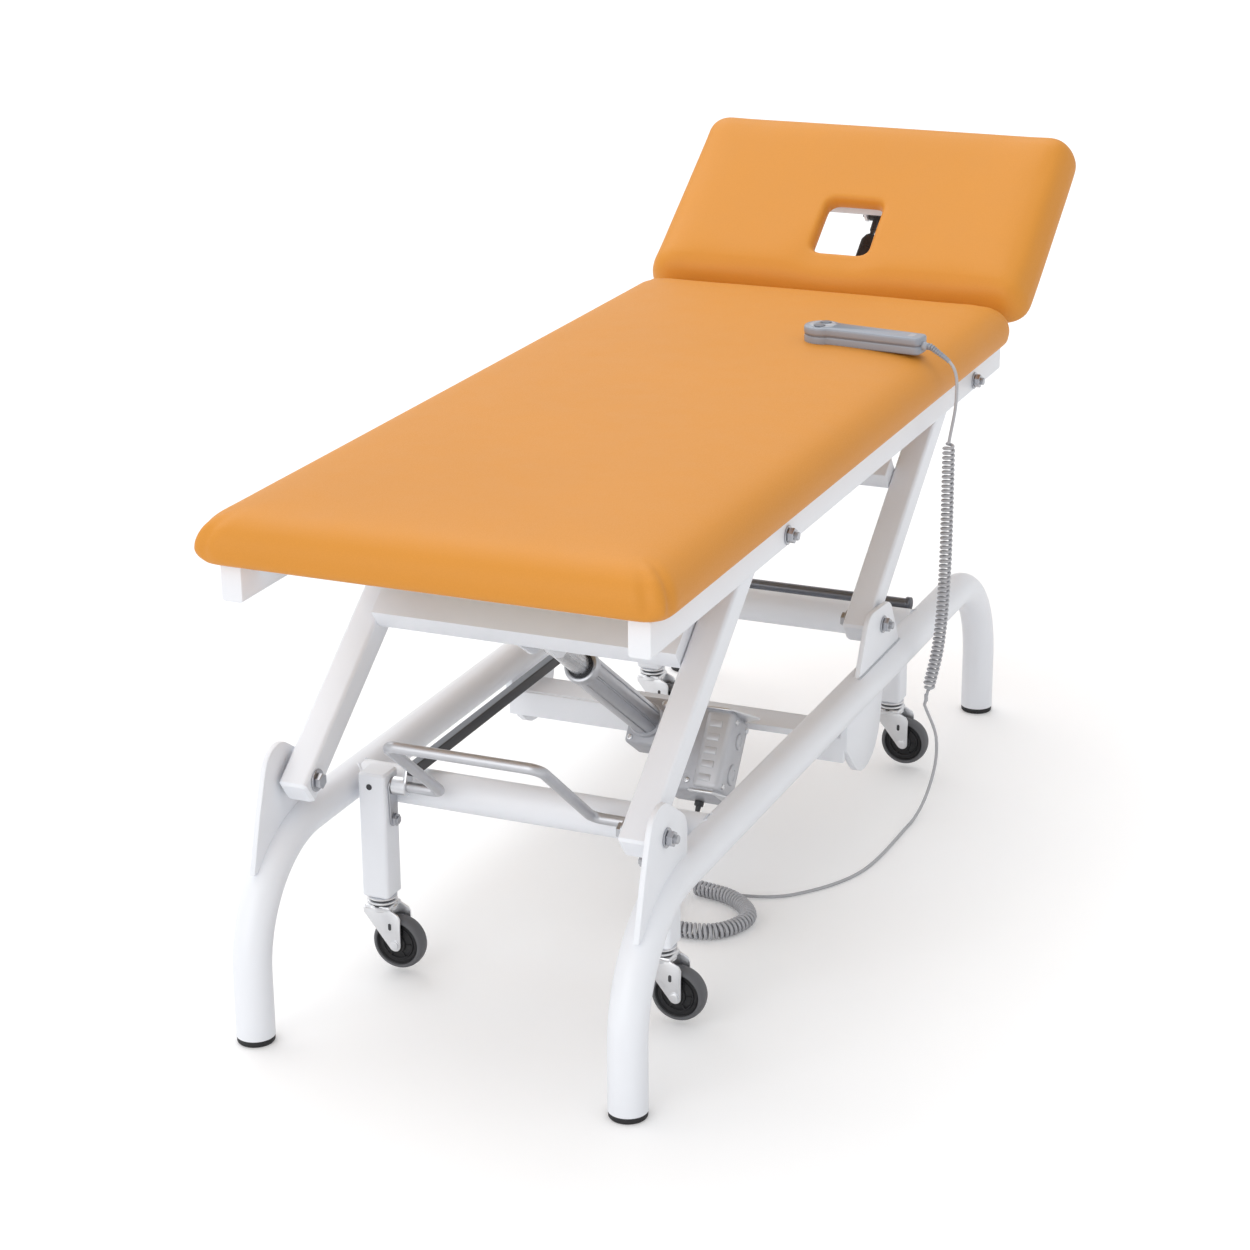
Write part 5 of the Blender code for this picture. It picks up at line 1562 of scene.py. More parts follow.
@dataclass
class BentBase:
    """Bent side tubes, cross tubes, pivot plates and the beam that carries the lift."""

    tube_r: float = 0.0255
    track: float = 0.262
    tube_z: float = 0.256
    bend_r: float = 0.160
    foot_front: float = lay(0.051)
    foot_rear: float = lay(1.535)
    cap_h: float = 0.009
    cross: tuple[float, float] = (lay(0.346), lay(1.204))
    plate: float = 0.008
    plate_r: float = 0.032

    def front_fin(self) -> list[Flat]:
        """Return the outline of the plate on the front bend."""
        y, z = PIVOTS[0]
        leg = self.tube_z - self.bend_r
        crown = circle((y - 0.012, z + 0.008), self.plate_r + 0.008)
        nose = circle((y - 0.034, z - 0.043), 0.036)
        heel = circle((y + 0.034, z - 0.018), 0.036)
        return hull(crown + nose + heel + [(self.foot_front + 0.018, leg + 0.128), (y + 0.068, leg + 0.142)])

    def rear_fin(self) -> list[Flat]:
        """Return the outline of the plate on the straight tube."""
        y, z = PIVOTS[1]
        low = self.tube_z + 0.010
        crown = circle((y - 0.044, z), self.plate_r)
        heel = circle((y + 0.016, z - 0.004), self.plate_r)
        return hull(crown + heel + [(y - 0.113, low), (y + 0.088, low)])

    def tubes(self) -> None:
        """Sweep the side tubes and cross tubes, and add the pivot plates."""
        for side in Side:
            x = side.value * self.track
            line = rounded_path([(x, self.foot_front, self.cap_h), (x, self.foot_front, self.tube_z),
                                 (x, self.foot_rear, self.tube_z), (x, self.foot_rear, self.cap_h)],
                                [self.bend_r, self.bend_r], 28)
            self.tube("side_tube_" + side.label, "side_tube_" + side.label, line)
            form = Form()
            for fin in (self.front_fin(), self.rear_fin()):
                form.prism(fin, x, x + side.value * self.plate, None, 0.0014)
            fit(form.piece("pivot_plates_" + side.label, SHADES.white), "base", Slot.WHITE)
        reach = self.track - self.tube_r * 0.55
        for end, y in zip(End, self.cross):
            self.tube(end.value + "_cross", end.value + "_cross_tube",
                      [(-reach, y, self.tube_z), (reach, y, self.tube_z)])

    def tube(self, name: str, node: str, line: Sequence[Sequence[float]]) -> None:
        """Sweep one white tube along a line, in place of a CAD node."""
        made = RIGS.tube.grow(name + "_skin", line_mesh(line), SHADES.white, 50.0,
                              Radius=self.tube_r, Sides=56)
        fit(made, "base", Slot.WHITE, node)

    def beads(self) -> None:
        """Lay weld beads where the cross tubes and plates meet the side tubes."""
        rings = []
        for y in self.cross:
            for side in Side:
                for way in (1.0, -1.0):
                    ring = []
                    for k in range(25):
                        c, s = unit(math.radians(-66.0 + 132.0 * k / 24.0))
                        dy, dz = self.tube_r * c, self.tube_r * s
                        ring.append((side.value * (self.track - dy + 0.0004), y + way * dy, self.tube_z + dz))
                    rings.append(ring)
            for side in Side:
                z = self.tube_z + self.tube_r * 0.95
                x = side.value * (self.track + self.plate)
                rings.append([(x, PIVOTS[1][0] - 0.106 + 0.186 * k / 30.0, z) for k in range(31)])
        for number, ring in enumerate(rings):
            made = RIGS.bead.grow("weld_bead_%d" % number, line_mesh(ring), SHADES.white, 60.0,
                                  Size=0.0021, Pitch=0.0023)
            fit(made, "base", Slot.WHITE)

    def caps(self) -> None:
        """Turn the black foot caps."""
        profile = [(0.0, 0.0), (0.0215, 0.0), (0.0238, 0.0007), (0.0248, 0.0022), (0.0250, 0.0066),
                   (0.0246, 0.0080), (0.0236, 0.0087), (0.0, 0.0087)]
        for corner, (end, side) in CORNERS.items():
            y = self.foot_front if end is End.FRONT else self.foot_rear
            cap = Form().lathe(profile, Matrix.Translation((side.value * self.track, y, 0.0)), 48)
            cap.dress("foot_cap_" + corner, "base", SHADES.rubber)

    def build(self) -> None:
        """Build the base."""
        self.tubes()
        self.beads()
        self.caps()
        refine("middle_beam", "base", SHADES.white, 0.0012)
        Bolts().place("lower_bolt", "base", PIVOTS, self.track + self.plate, self.track - 0.046)


@dataclass
class LiftArms:
    """Two leaning pairs of box-section arms with their cross bars."""

    track: float = 0.256
    size: float = 0.040
    length: float = 0.465
    angle: float = math.radians(37.0)
    tail: float = 0.024
    nose: float = 0.022

    def build(self) -> None:
        """Build the arms and dress the bars."""
        c, s = unit(self.angle)
        up = Vector((0.0, -s, c))
        for end, pivot in zip(End, PIVOTS):
            body = end.value + "_arms"
            for side in Side:
                x = side.value * (self.track - self.size / 2.0)
                start = Vector((x, *along(pivot, self.angle, -self.tail, 0.0)))
                stop = Vector((x, *along(pivot, self.angle, self.length + self.nose, 0.0)))
                form = Form().bar(round_rect(self.size, self.size, 0.0055), start, stop, up, 0.0035)
                form.dress("arm_" + end.value + "_" + side.label, body, SHADES.white, smooth=32.0)
            refine("arm_bar_" + end.value, body, SHADES.white, 0.0022, 3)


@dataclass
class TopFrame:
    """Rails, ties and the raised head frame with its hinge rod."""

    rail_x: float = 0.288
    rail_w: float = 0.030
    rail_h: float = 0.050
    rail_top: float = 0.643
    front_y: float = lay(0.070)
    rear_y: float = lay(1.512)
    lug_r: float = 0.0085
    lug: float = 0.008
    pivots: tuple[Flat, Flat] = ((-0.39627, 0.60984), (0.44173, 0.60984))

    def build(self) -> None:
        """Build the rails and dress the rest."""
        for side in Side:
            x = side.value * (self.rail_x - self.rail_w / 2.0)
            z = self.rail_top - self.rail_h / 2.0
            form = Form().bar(round_rect(self.rail_w, self.rail_h, 0.0045), Vector((x, self.front_y, z)),
                              Vector((x, self.rear_y, z)), Vector((0.0, 0.0, 1.0)), 0.0015)
            foot = self.rail_top - 0.004
            lug = hull(circle(HINGE, self.lug_r, 32)
                       + [(HINGE[0] - self.lug_r, foot), (HINGE[0] + self.lug_r, foot)])
            x = side.value * (self.rail_x - self.rail_w + 0.003)
            form.prism(lug, x, x + side.value * self.lug, None, 0.0012)
            form.dress("rail_" + side.label, "top", SHADES.white, smooth=32.0)
        for end in End:
            refine("top_tie_" + end.value, "top", SHADES.white, 0.0015)
        refine("head_frame", "head", SHADES.white, 0.0014)
        rod = Form().lathe(pin(0.005, self.rail_x - self.rail_w + 0.014, 0.0008), axis_x(HINGE, 0.0), 24)
        rod.dress("hinge_rod", "top", SHADES.zinc)
        Bolts().place("upper_bolt", "top", self.pivots, self.rail_x, 0.216)


@dataclass
class GasSpring:
    """Locking gas spring under the head section."""

    low: Flat = (0.57336, 0.575)
    angle: float = math.radians(37.596)
    length: float = 0.32206
    body_r: float = 0.0115
    rod_r: float = 0.004
    mouth: float = 0.150
    grip_r: float = 0.0140

    def spot(self, run: float) -> Matrix:
        """Return the place of a turned shape along the spring."""
        return (Matrix.Translation((0.0, *along(self.low, self.angle, run, 0.0)))
                @ Matrix.Rotation(self.angle - QUARTER, 4, "X"))

    def eye(self, form: Form, centre: Flat, radius: float) -> None:
        """Add an eye with its cross pin."""
        form.lathe(pin(radius, 0.0146), axis_x(centre, 0.0), 32)
        form.lathe(pin(0.004, 0.026, 0.0006), axis_x(centre, 0.0), 20)

    def build(self) -> None:
        """Build cylinder and rod."""
        r = self.body_r
        m = self.mouth
        form = Form().lathe([(r * 0.7, 0.010), (r - 0.001, 0.0125), (r, 0.015), (r, m - 0.006),
                             (r - 0.0012, m - 0.003), (r - 0.0018, m - 0.0005), (0.0100, m)],
                            self.spot(0.0), 40)
        self.eye(form, self.low, 0.011)
        form.dress("gas_cylinder", "gas_cylinder", SHADES.dark)
        end = self.spot(self.length)
        form = Form().lathe([(self.rod_r, -0.212), (self.rod_r, -0.034), (0.0058, -0.033), (0.0062, -0.020),
                             (0.0062, -0.006)], end, 28)
        self.eye(form, along(self.low, self.angle, self.length, 0.0), 0.009)
        form.paint(1)
        g = self.grip_r
        form.lathe([(0.0060, -0.100), (g - 0.0025, -0.100), (g, -0.096), (g, -0.080), (g - 0.0010, -0.079),
                    (g - 0.0010, -0.076), (g, -0.075), (g, -0.058), (g - 0.0040, -0.048), (0.0060, -0.044)],
                   end, 36)
        fit(form.piece("gas_rod_skin", SHADES.dark, SHADES.rubber), "gas_rod", Slot.STEEL, "gas_rod")


@dataclass
class LiftMotor:
    """Linear lift: gear housing, extruded outer tube, motor block and push rod."""

    eye: Flat = (-0.52064, 0.470)
    length: float = 0.49778
    mouth: float = 0.372
    tube_r: float = 0.023
    rod_r: float = 0.0148
    motor_low: Point = (0.041, 0.012, -0.034)
    motor_high: Point = (0.128, 0.088, 0.094)

    @property
    def place(self) -> Matrix:
        """Return the frame whose Y runs along the lift."""
        return Matrix.Translation((0.0, *LIFT_FOOT)) @ Matrix.Rotation(LIFT_ANGLE, 4, "X")

    @property
    def line(self) -> Matrix:
        """Return the frame whose Z runs along the lift."""
        return self.place @ Matrix.Rotation(-QUARTER, 4, "X")

    def grooved(self, radius: float, depth: float) -> list[Flat]:
        """Return a round section with eight grooves.

        Args:
            radius: The section's radius.
            depth: The grooves' depth.

        Returns:
            The outline.
        """
        out = []
        for k in range(144):
            c, s = unit(2.0 * math.pi * k / 144.0)
            r = radius - depth if (k % 18) in (8, 9, 10) else radius
            out.append((r * c, r * s))
        return out

    def column(self, form: Form, section: Sequence[Flat], low: float, high: float, lip: float) -> None:
        """Add a straight extrusion along the lift between two distances, chamfered by a lip."""
        ends = [self.line @ Vector((0.0, 0.0, run)) for run in (low, high)]
        form.bar(section, *ends, Vector((1.0, 0.0, 0.0)), lip)

    def housing(self) -> None:
        """Build the gear housing with its tube."""
        form = Form()
        form.block((-0.029, 0.020, -0.036), (0.029, 0.085, 0.036), self.place, 0.0055, 4)
        form.lathe([(0.0262, 0.082), (0.0262, 0.094), (0.0240, 0.097)], self.line, 48)
        tail = hull(circle((0.0, 0.0), 0.014, 32) + [(0.024, -0.014), (0.024, 0.014)])
        form.prism(tail, -0.012, 0.012, self.place, 0.0015)
        form.lathe(pin(0.006, 0.041, 0.0006), axis_x(LIFT_FOOT, 0.0), 24)
        form.paint(1)
        m = self.mouth
        self.column(form, self.grooved(self.tube_r, 0.0018), 0.090, m - 0.014, 0.0)
        form.lathe([(0.0160, m - 0.016), (0.0243, m - 0.016), (0.0247, m - 0.014), (0.0247, m - 0.006),
                    (0.0232, m - 0.001), (0.0205, m), (0.0185, m - 0.0012), (0.0185, m - 0.004),
                    (0.0160, m - 0.004)], self.line, 56)
        form.paint(2)
        form.lathe([(0.0156, m - 0.010), (0.0183, m - 0.010), (0.0183, m - 0.0018), (0.0174, m - 0.0010),
                    (0.0156, m - 0.0018)], self.line, 48)
        form.dress("lift_gearbox", "lift_motor", SHADES.alloy, SHADES.extruded, SHADES.dark)

    def block(self) -> None:
        """Build the motor block with its cover, end bosses and pointed bracket plates."""
        form = Form()
        low, high = self.motor_low, self.motor_high
        form.block(low, high, self.place, 0.008)
        form.lathe([(0.024, -0.0105), (0.024, 0.009)], self.place @ axis_x((0.052, 0.0), 0.040), 40)
        form.paint(1)
        form.block((0.088, low[1] + 0.004, low[2] + 0.005),
                   (high[0] + 0.003, high[1] + 0.0035, high[2] - 0.006), self.place, 0.009)
        for k in range(5):
            e = low[2] + 0.020 + 0.020 * k
            form.block((0.097, high[1] + 0.001, e), (high[0] - 0.012, high[1] + 0.0047, e + 0.010),
                       self.place, 0.0012, 2)
        for e, r in ((low[2] + 0.038, 0.0120), (low[2] + 0.088, 0.0155)):
            boss = self.place @ axis_x((0.050, e), high[0] + 0.002)
            form.lathe([(0.0, 0.0), (r, 0.0), (r, 0.0028), (r - 0.0012, 0.004), (r * 0.55, 0.004),
                        (r * 0.5, 0.003), (0.0, 0.003)], boss, 36)
        form.paint(2)
        tip = high[0] + 0.030
        fin = [(0.086, 0.026), (0.124, 0.026), (tip, 0.058), (tip, 0.062), (0.124, 0.0925), (0.086, 0.0925)]
        for e in (low[2] + 0.001, high[2] - 0.004):
            form.prism(fin, e, e + 0.003, self.place @ UPRIGHT, 0.0008)
        form.dress("lift_motor", "lift_motor", SHADES.alloy, SHADES.cover, SHADES.zinc, smooth=30.0)
        self.screws()

    def screws(self) -> None:
        """Set the motor's screw heads with the node tree."""
        outline = [(0.0, -0.0005), (0.0042, -0.0005), (0.0042, 0.0012), (0.0036, 0.0022), (0.0022, 0.0026),
                   (0.0016, 0.0014), (0.0, 0.0014)]
        screw = Form().lathe(outline, Matrix.Identity(4), 20).piece("screw_shape", SHADES.zinc)
        low, high = self.motor_low, self.motor_high
        out = tuple((self.place.to_3x3() @ Matrix.Rotation(QUARTER, 3, "Y")).to_euler())
        ahead = tuple((self.place.to_3x3() @ Matrix.Rotation(-QUARTER, 3, "X")).to_euler())
        spots = []
        for e in (low[2] + 0.016, high[2] - 0.016):
            spots += [((high[0] + 0.003, s, e), out) for s in (0.028, 0.076)]
            spots += [((x, high[1], e), ahead) for x in (0.052, 0.080)]
        spots += [((x, 0.085, e), ahead) for x in (-0.021, 0.021) for e in (-0.028, 0.028)]
        places = [(tuple(self.place @ Vector(at)), turn) for at, turn in spots]
        made = RIGS.copies.grow("motor_screws", point_mesh(places), SHADES.zinc, 30.0, Shape=screw)
        bpy.data.objects.remove(screw, do_unlink=True)
        fit(made, "lift_motor", Slot.ZINC)

    def rod(self) -> None:
        """Build the grooved push rod with its eye."""
        end = self.length
        form = Form()
        self.column(form, self.grooved(self.rod_r, 0.0009), end - 0.314, end - 0.020, 0.001)
        form.lathe([(0.0, end - 0.028), (0.0160, end - 0.028), (0.0160, end - 0.018), (0.0150, end - 0.008)],
                   self.line, 40)
        form.lathe(pin(0.0155, 0.0166), axis_x(self.eye, 0.0), 40)
        form.dress("lift_rod", "lift_rod", SHADES.rod)

    def build(self) -> None:
        """Build the lift."""
        self.housing()
        self.block()
        self.rod()


@dataclass
class WheelLift:
    """Foot pedal, rear shaft, link bar and four castors on posts."""

    post_x: float = 0.204
    post_w: float = 0.040
    post_low: float = 0.112
    post_top: float = 0.293
    post_top_rear: float = 0.2649
    shaft_z: float = 0.274
    rows: tuple[float, float] = (-0.62544, 0.32416)
    shaft_end: float = 0.1807
    rear_end: float = 0.2335
    bar_r: float = 0.0085
    pedal_r: float = 0.0073
    pedal_x: float = 0.108
    pedal_top: Flat = (-0.78144, 0.399)
    pedal_bends: tuple[float, ...] = (0.015, 0.017, 0.017, 0.015)
    wheel_r: float = 0.0375
    wheel_w: float = 0.025
    lift: float = 0.008
    trail: float = 0.025
    lever_r: float = 0.026
    lever_lean: float = math.radians(75.0)
    lever_x: Flat = (-0.1628, -0.1583)

    def lever(self, form: Form, centre: Flat) -> None:
        """Add the short crank that carries the link bar.

        Args:
            form: The form to add to.
            centre: The shaft's centre.
        """
        tip = along(centre, self.lever_lean, self.lever_r, 0.0)
        outline = hull(circle(centre, 0.0115, 24) + circle(tip, 0.008, 24))
        form.prism(outline, *self.lever_x, None, 0.0006)

    def pedal(self) -> None:
        """Sweep the pedal bar, with its bushes and crank."""
        y = self.rows[0]
        z = self.shaft_z
        p = self.pedal_x
        line = rounded_path([(-self.shaft_end, y, z), (-p, y, z), (-p, *self.pedal_top), (p, *self.pedal_top),
                             (p, y, z), (self.shaft_end, y, z)], self.pedal_bends, 12)
        bar = RIGS.tube.grow("wheel_pedal_skin", line_mesh(line), SHADES.steel, 50.0,
                             Radius=self.pedal_r, Sides=28)
        fit(bar, "wheel_pedal", Slot.STEEL, "wheel_pedal")
        form = Form()
        for side in Side:
            place = axis_x((y, z), side.value * (self.shaft_end - 0.0115))
            form.lathe(pin(0.0125, 0.0105, 0.0007, self.pedal_r), place, 32)
        self.lever(form, (y, z))
        fit(form.piece("pedal_bushes", SHADES.zinc), "wheel_pedal", Slot.STEEL)

    def shaft(self) -> None:
        """Build the rear shaft and the link bar."""
        centre = (self.rows[1], self.shaft_z)
        form = Form().lathe(pin(self.bar_r, self.rear_end), axis_x(centre, 0.0), 28)
        self.lever(form, centre)
        collar = mirrored([(self.bar_r, 0.004), (0.0106, 0.004), (0.011, 0.0034), (0.011, 0.0008),
                           (0.0102, 0.0005)])
        for x in (-0.2288, -0.140, 0.150, 0.2288):
            form.lathe(collar, axis_x(centre, x), 28)
        form.dress("rear_shaft", "rear_shaft", SHADES.shaft)
        low, high = (Vector(p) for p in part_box("link_bar"))
        high.z -= 0.006
        bar = Form().block(tuple(low), tuple(high), None, 0.0016).paint(1)
        # Painted highlight: a lighter strip on the bar's top face, where the light falls on it.
        bar.block((low.x + 0.0016, low.y + 0.002, high.z - 0.001),
                  (high.x - 0.0016, high.y - 0.002, high.z + 0.0003), None, 0.0002, 1)
        bar.dress("link_bar", "link_bar", SHADES.dark, SHADES.shaft)

    def cap_bolt(self, form: Form, point: Flat, x: float, way: float) -> None:
        """Add a washer and hex head on a face square to X.

        Args:
            form: The form to add to.
            point: Its centre.
            x: The face.
            way: 1 or -1 for the side it looks to.
        """
        place = axis_x(point, x, way)
        form.lathe([(0.0, 0.0), (0.0095, 0.0), (0.0098, 0.0004), (0.0098, 0.0014), (0.0, 0.0016)], place, 28)
        form.lathe([(0.0, 0.0014), (0.0068, 0.0014), (0.0068, 0.0056), (0.0058, 0.0064), (0.0, 0.0064)],
                   place, 6)

    def post(self, tag: str, side: Side, y: float) -> None:
        """Build one square post with its crank plate and stud.

        Args:
            tag: End and side in the piece's name.
            side: The side it stands on.
            y: Its place along the table.
        """
        s = side.value
        x = s * self.post_x
        half = self.post_w / 2.0
        front = tag.startswith(End.FRONT.value)
        top = self.post_top if front else self.post_top_rear
        crown = self.shaft_z - 0.002 if front else top - 0.014
        stud = (y, self.shaft_z - 0.050)
        form = Form().bar(round_rect(self.post_w, self.post_w, 0.0048, 5), Vector((x, y, self.post_low)),
                          Vector((x, y, top)), Vector((0.0, 1.0, 0.0)), 0.003)
        inner = x - s * half
        face = inner - s * 0.003
        form.paint(1)
        lever = hull(circle((y, crown), 0.0118 if front else 0.0092, 32) + circle(stud, 0.0092, 32))
        form.prism(lever, inner, face, None, 0.0007)
        self.cap_bolt(form, (y, crown - 0.004), x + s * half, s)
        form.lathe([(0.0, 0.0), (0.0088, 0.0), (0.0092, 0.0006), (0.0092, 0.0038), (0.0080, 0.0048),
                    (0.006, 0.005), (0.006, 0.0068), (0.0052, 0.0073), (0.0, 0.0073)],
                   axis_x(stud, face, -s), 6)
        form.paint(2)
        # Painted shade: a thin dark disc on the post's front face stands for a hole.
        plug = Matrix.Translation((x - 0.003, y - half, top - 0.019)) @ Matrix.Rotation(QUARTER, 4, "X")
        form.lathe([(0.0, 0.0), (0.0042, 0.0), (0.0042, 0.0004), (0.0, 0.0004)], plug, 20)
        form.dress("castor_post_" + tag, "post_" + tag, SHADES.white, SHADES.bolt, SHADES.dark, smooth=32.0)

    def fork(self, tag: str, x: float, y: float, hub: Point) -> None:
        """Build one pressed swivel fork.

        Args:
            tag: End and side in the piece's name.
            x: The swivel's X.
            y: The swivel's Y.
            hub: The wheel's centre.
        """
        top = self.post_low
        here = Matrix.Translation((x, y, top))
        form = Form()
        lower = [(0.0, -0.0215), (0.0180, -0.0215), (0.0205, -0.0195), (0.0205, -0.0150), (0.0188, -0.0138)]
        race = [(0.0188, -0.0100), (0.0206, -0.0096), (0.0210, -0.0084), (0.0206, -0.0070), (0.0192, -0.0064)]
        upper = [(0.0186, -0.0040), (0.0204, -0.0034), (0.0204, -0.0012), (0.0190, -0.0004), (0.0, -0.0004)]
        for profile in (lower, race, upper):
            form.lathe(profile, here, 48)
        inside = self.wheel_w / 2.0 + 0.002
        outside = inside + 0.003
        cut = top - 0.016
        edge = hub[0] + 0.0088
        leg = hull(circle((hub[0], hub[2]), 0.0088, 28)
                   + [(x - 0.021, cut), (x - 0.020, cut - 0.008), (x + 0.019, cut),
                      (edge - 0.003, cut - 0.006), (edge, cut - 0.012)])
        for way in (-1.0, 1.0):
            form.prism(leg, y + way * inside, y + way * outside, SIDEWAYS, 0.0009)
        form.block((x - 0.019, y - outside, top - 0.0195), (x + 0.019, y + outside, top - 0.012), None,
                   0.0022)
        for way in (-1.0, 1.0):
            place = (Matrix.Translation((hub[0], y + way * outside, hub[2]))
                     @ Matrix.Rotation(-way * QUARTER, 4, "X"))
            form.lathe([(0.0, 0.0), (0.0078, 0.0), (0.0078, 0.0008), (0.0064, 0.0009), (0.0062, 0.0026),
                        (0.0050, 0.0030), (0.0, 0.0030)], place, 24)
        axle = Matrix.Translation(hub) @ Matrix.Rotation(QUARTER, 4, "X")
        form.lathe([(0.005, -outside), (0.005, outside)], axle, 20)
        form.paint(1)
        # Painted shade: a dark core inside the swivel race shows between its rings.
        form.lathe([(0.0, -0.0160), (0.0176, -0.0160), (0.0176, -0.0020), (0.0, -0.0020)], here, 40)
        slot = [(hub[0] - 0.0065 + a, hub[2] + 0.0265 + b) for a, b in round_rect(0.0046, 0.0100, 0.0022, 5)]
        for way in (-1.0, 1.0):
            form.prism(slot, y + way * (outside - 0.001), y + way * (outside + SEAT), SIDEWAYS, 0.0)
        form.dress("castor_fork_" + tag, "fork_" + tag, SHADES.zinc, SHADES.dark)

    def wheel(self, tag: str, hub: Point) -> None:
        """Turn one wheel with its tyre and dished hub.

        Args:
            tag: End and side in the piece's name.
            hub: The wheel's centre.
        """
        w = self.wheel_w / 2.0
        place = Matrix.Translation(hub) @ Matrix.Rotation(QUARTER, 4, "X")
        tyre = [(0.0302, w - 0.0085), (0.0302, w - 0.0022), (0.0310, w - 0.0008), (0.0326, w - 0.0006),
                (0.0346, w - 0.0016), (0.0362, w - 0.0042), (0.0370, w - 0.0072), (self.wheel_r, 0.0)]
        ring = tyre + [(r, -z) for r, z in reversed(tyre[:-1])]
        form = Form().lathe(ring, place, 64)
        form.paint(1)
        dish = [(0.0054, w), (0.0105, w), (0.0122, w - 0.0008), (0.0132, w - 0.0036), (0.0205, w - 0.0050),
                (0.0214, w - 0.0036), (0.0228, w - 0.0036), (0.0238, w - 0.0052), (0.0276, w - 0.0050),
                (0.0288, w - 0.0030), (0.0298, w - 0.0022), (0.0305, w - 0.0030)]
        form.lathe(mirrored(dish), place, 48)
        for way in (-1.0, 1.0):
            for k in range(6):
                spin = place @ Matrix.Rotation(math.pi * k / 3.0, 4, "Z")
                form.block((0.0118, -0.0011, way * (w - 0.0052)), (0.0210, 0.0011, way * (w - 0.0030)), spin,
                           0.0004, 2)
        form.dress("castor_wheel_" + tag, "wheel_" + tag, SHADES.tyre, SHADES.hub)

    def build(self) -> None:
        """Build the pedal, the shafts and all four castors."""
        self.pedal()
        self.shaft()
        for tag, (end, side) in CORNERS.items():
            y = self.rows[0] if end is End.FRONT else self.rows[1]
            x = side.value * self.post_x
            hub = (x + self.trail, y, self.lift + self.wheel_r)
            self.post(tag, side, y)
            self.fork(tag, x, y, hub)
            self.wheel(tag, hub)


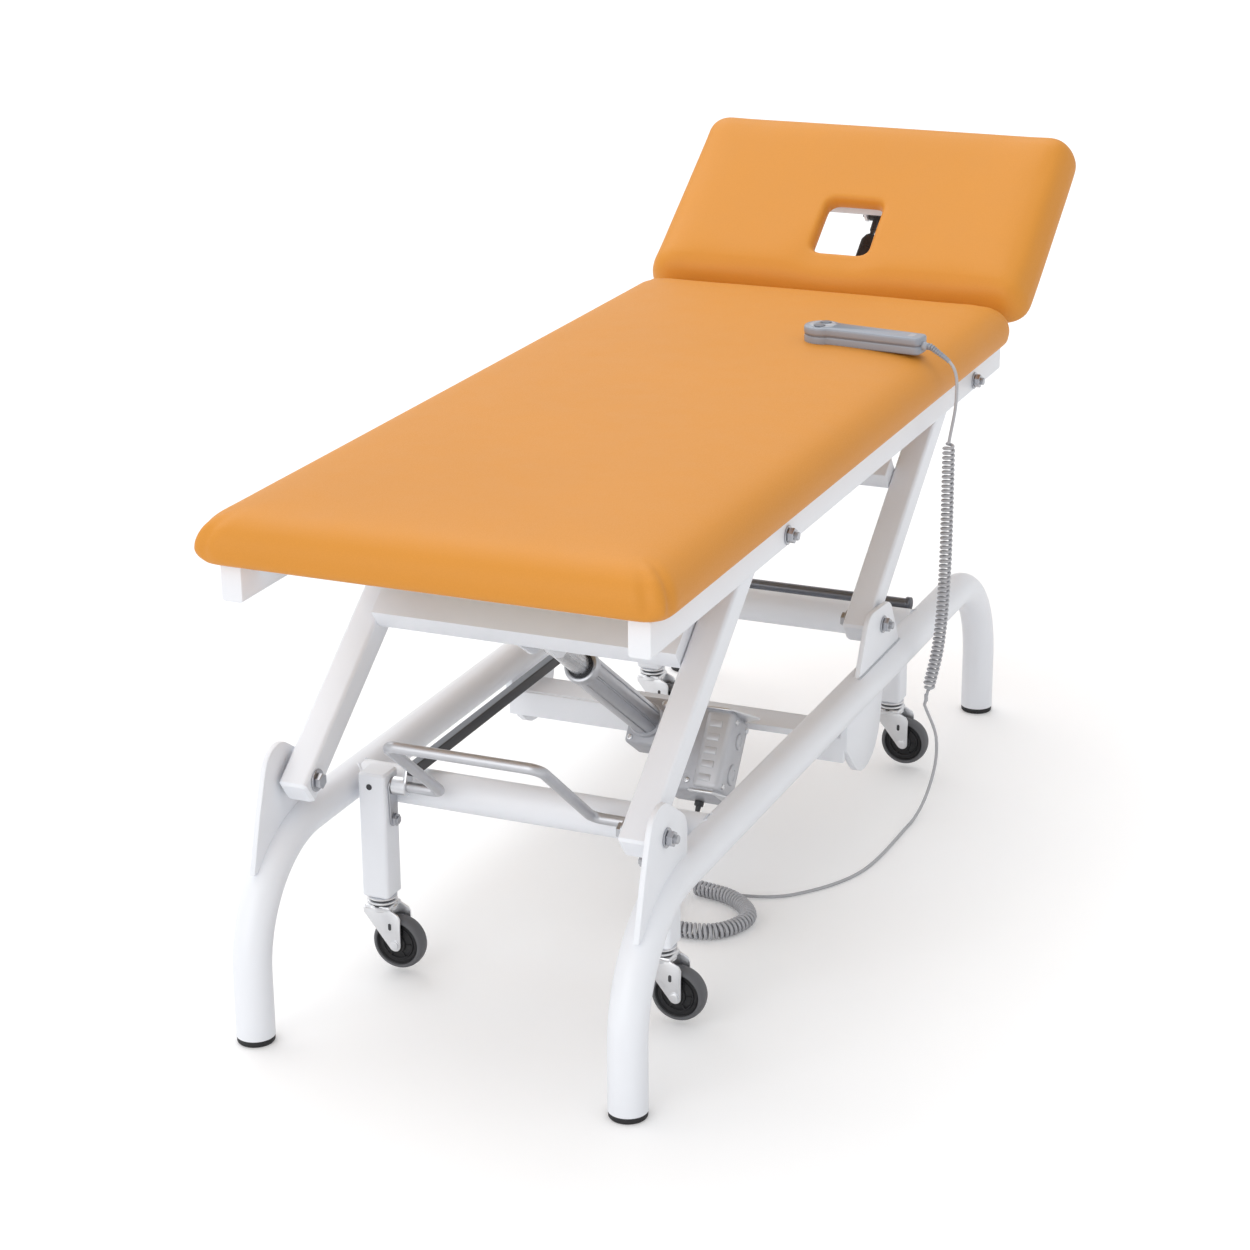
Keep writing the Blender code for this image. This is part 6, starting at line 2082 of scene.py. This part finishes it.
@dataclass
class Handset:
    """Two-button handset lying on the long pad."""

    high: float = 0.026
    head_r: float = 0.028
    head_x: float = -0.067
    neck: float = 0.0208
    tail: float = 0.0180
    button_y: float = 0.0115
    well: Flat = (0.0085, 0.0036)
    end_r: float = 0.009

    @property
    def place(self) -> Matrix:
        """Return the frame whose X runs along the handset."""
        return Matrix.Translation(HANDSET_AT) @ Matrix.Rotation(HANDSET_TURN, 4, "Z")

    @property
    def flat(self) -> Matrix:
        """Return the frame that stands a prism's outline flat on the pad."""
        return self.place @ UPRIGHT

    def outline(self, inset: float) -> list[Flat]:
        """Return the plan of head and tapered body.

        Args:
            inset: How far it is drawn in.

        Returns:
            The outline, anticlockwise.
        """
        r = self.head_r - inset
        neck, tail = self.neck - inset, self.tail - inset
        start = math.asin(min(1.0, (neck + 0.0012) / r))
        out = []
        for k in range(49):
            c, s = unit(start + (2.0 * math.pi - 2.0 * start) * k / 48.0)
            stretch = r / max(abs(c), abs(s) * 0.98, abs(c) * 0.745 + abs(s) * 0.745)
            reach = 0.6 * r + 0.4 * stretch if c > -0.2 else r
            out.append((self.head_x + reach * c, r * s))
        out.append((self.head_x + 0.0340, -neck))
        end = HANDSET_HALF - inset - self.end_r
        for y, first in ((self.end_r - tail, -0.5), (tail - self.end_r, 0.0)):
            for k in range(7):
                c, s = unit(math.pi * (first + k / 12.0))
                out.append((end + self.end_r * c, y + self.end_r * s))
        out.append((self.head_x + 0.0340, neck))
        return out

    def shell(self) -> None:
        """Stack the lower and upper shells with a seam between them."""
        form = Form()
        seam = self.high * 0.52
        form.prism(self.outline(0.0006), 0.0002, seam - 0.0002, self.flat, 0.0030, 55.0, 4)
        form.prism(self.outline(0.0), seam + 0.0002, self.high, self.flat, 0.0036, 55.0, 4)
        form.paint(1)
        facing = [unit(math.pi * (k + 0.5) / 4.0) for k in range(8)]
        plate = [(self.head_x + 0.021 * c, 0.021 * s) for c, s in facing]
        form.prism(plate, self.high - 0.0006, self.high + 0.0008, self.flat, 0.0006, 20.0, 2)
        # Painted highlight: a small pale patch on top of the tail end.
        tip = [(HANDSET_HALF - 0.018 + a, b) for a, b in round_rect(0.010, 0.0180, 0.003, 5)]
        form.prism(tip, self.high - 0.0006, self.high + 0.0004, self.flat, 0.0004, 20.0, 1)
        form.paint(2)
        form.prism(self.outline(0.0010), seam - 0.0010, seam + 0.0010, self.flat, 0.0)
        r = self.head_r - 0.0003
        facing = [unit(math.pi * (0.62 + 0.76 * j / 24.0)) for j in range(25)]
        ring = [(self.head_x + r * c, r * s) for c, s in facing] + [(self.head_x, 0.0)]
        for k in range(3):
            z = 0.0175 + 0.0024 * k
            form.prism(ring, z, z + 0.0006, self.flat, 0.0)
        piece = form.piece("handset_skin", SHADES.plastic, SHADES.pale, SHADES.button, smooth=34.0)
        radius, deep = self.well
        for way in (-1.0, 1.0):
            low = self.place @ Matrix.Translation((self.head_x, way * self.button_y, self.high - deep))
            well = Form().lathe([(0.0, 0.0), (radius, 0.0), (radius, 0.0070), (0.0, 0.0070)], low, 32)
            carve(piece, well.piece("button_well", SHADES.button), use_self=True)
        fit(piece, "top", Slot.PLASTIC, "handset")

    def build(self) -> None:
        """Build the shell, the buttons and the ribbed sleeve."""
        self.shell()
        for tag, way in (("up", -1.0), ("down", 1.0)):
            at = self.place @ Matrix.Translation((self.head_x, way * self.button_y, self.high + 0.0009))
            cap = Form().lathe([(0.0, -0.0028), (0.0078, -0.0028), (0.0080, 0.0004), (0.0076, 0.0010),
                                (0.0055, 0.0013), (0.0, 0.0014)], at, 32)
            cap.dress("button_" + tag, "button_" + tag, SHADES.button)
        start = self.place @ axis_x((0.0, 0.012), HANDSET_HALF - 0.003)
        core = Form().lathe([(0.0, 0.0), (0.0066, 0.0), (0.0066, 0.0065), (0.0056, 0.0075), (0.0044, 0.009),
                             (0.0034, 0.0125), (0.0026, 0.0130)], start, 28)
        fit(core.piece("sleeve_core", SHADES.pale), "top", Slot.PLASTIC)
        route = HandsetCable().routes()["hanging"][:24]
        reach = np.concatenate([[0.0], np.cumsum(np.linalg.norm(np.diff(route, axis=0), axis=1))])
        spots = np.linspace(0.007, 0.046, 14)
        line = np.stack([np.interp(spots, reach, route[:, k]) for k in range(3)], axis=1)
        ribs = {"Radius": 0.0052, "Count": 11, "Taper": 0.36, "Depth": 0.0019}
        for name, rig, sizes in (("sleeve_tube", RIGS.tube, {"Radius": 0.0031, "Sides": 20}),
                                 ("sleeve_ribs", RIGS.ribs, ribs)):
            fit(rig.grow(name, line_mesh(line), SHADES.plastic, 30.0, **sizes), "top", Slot.PLASTIC)


def main() -> None:
    """Build the studio and every sub-assembly in order."""
    logging.basicConfig(level=logging.INFO, format="%(message)s")
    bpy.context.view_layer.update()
    Studio().build()
    HandsetCable().build()
    for part in (Upholstery(), BentBase(), LiftArms(), TopFrame(), GasSpring(), LiftMotor(), WheelLift(),
                 Handset()):
        LOG.info("building %s", type(part).__name__)
        part.build()


if __name__ == "__main__":
    main()
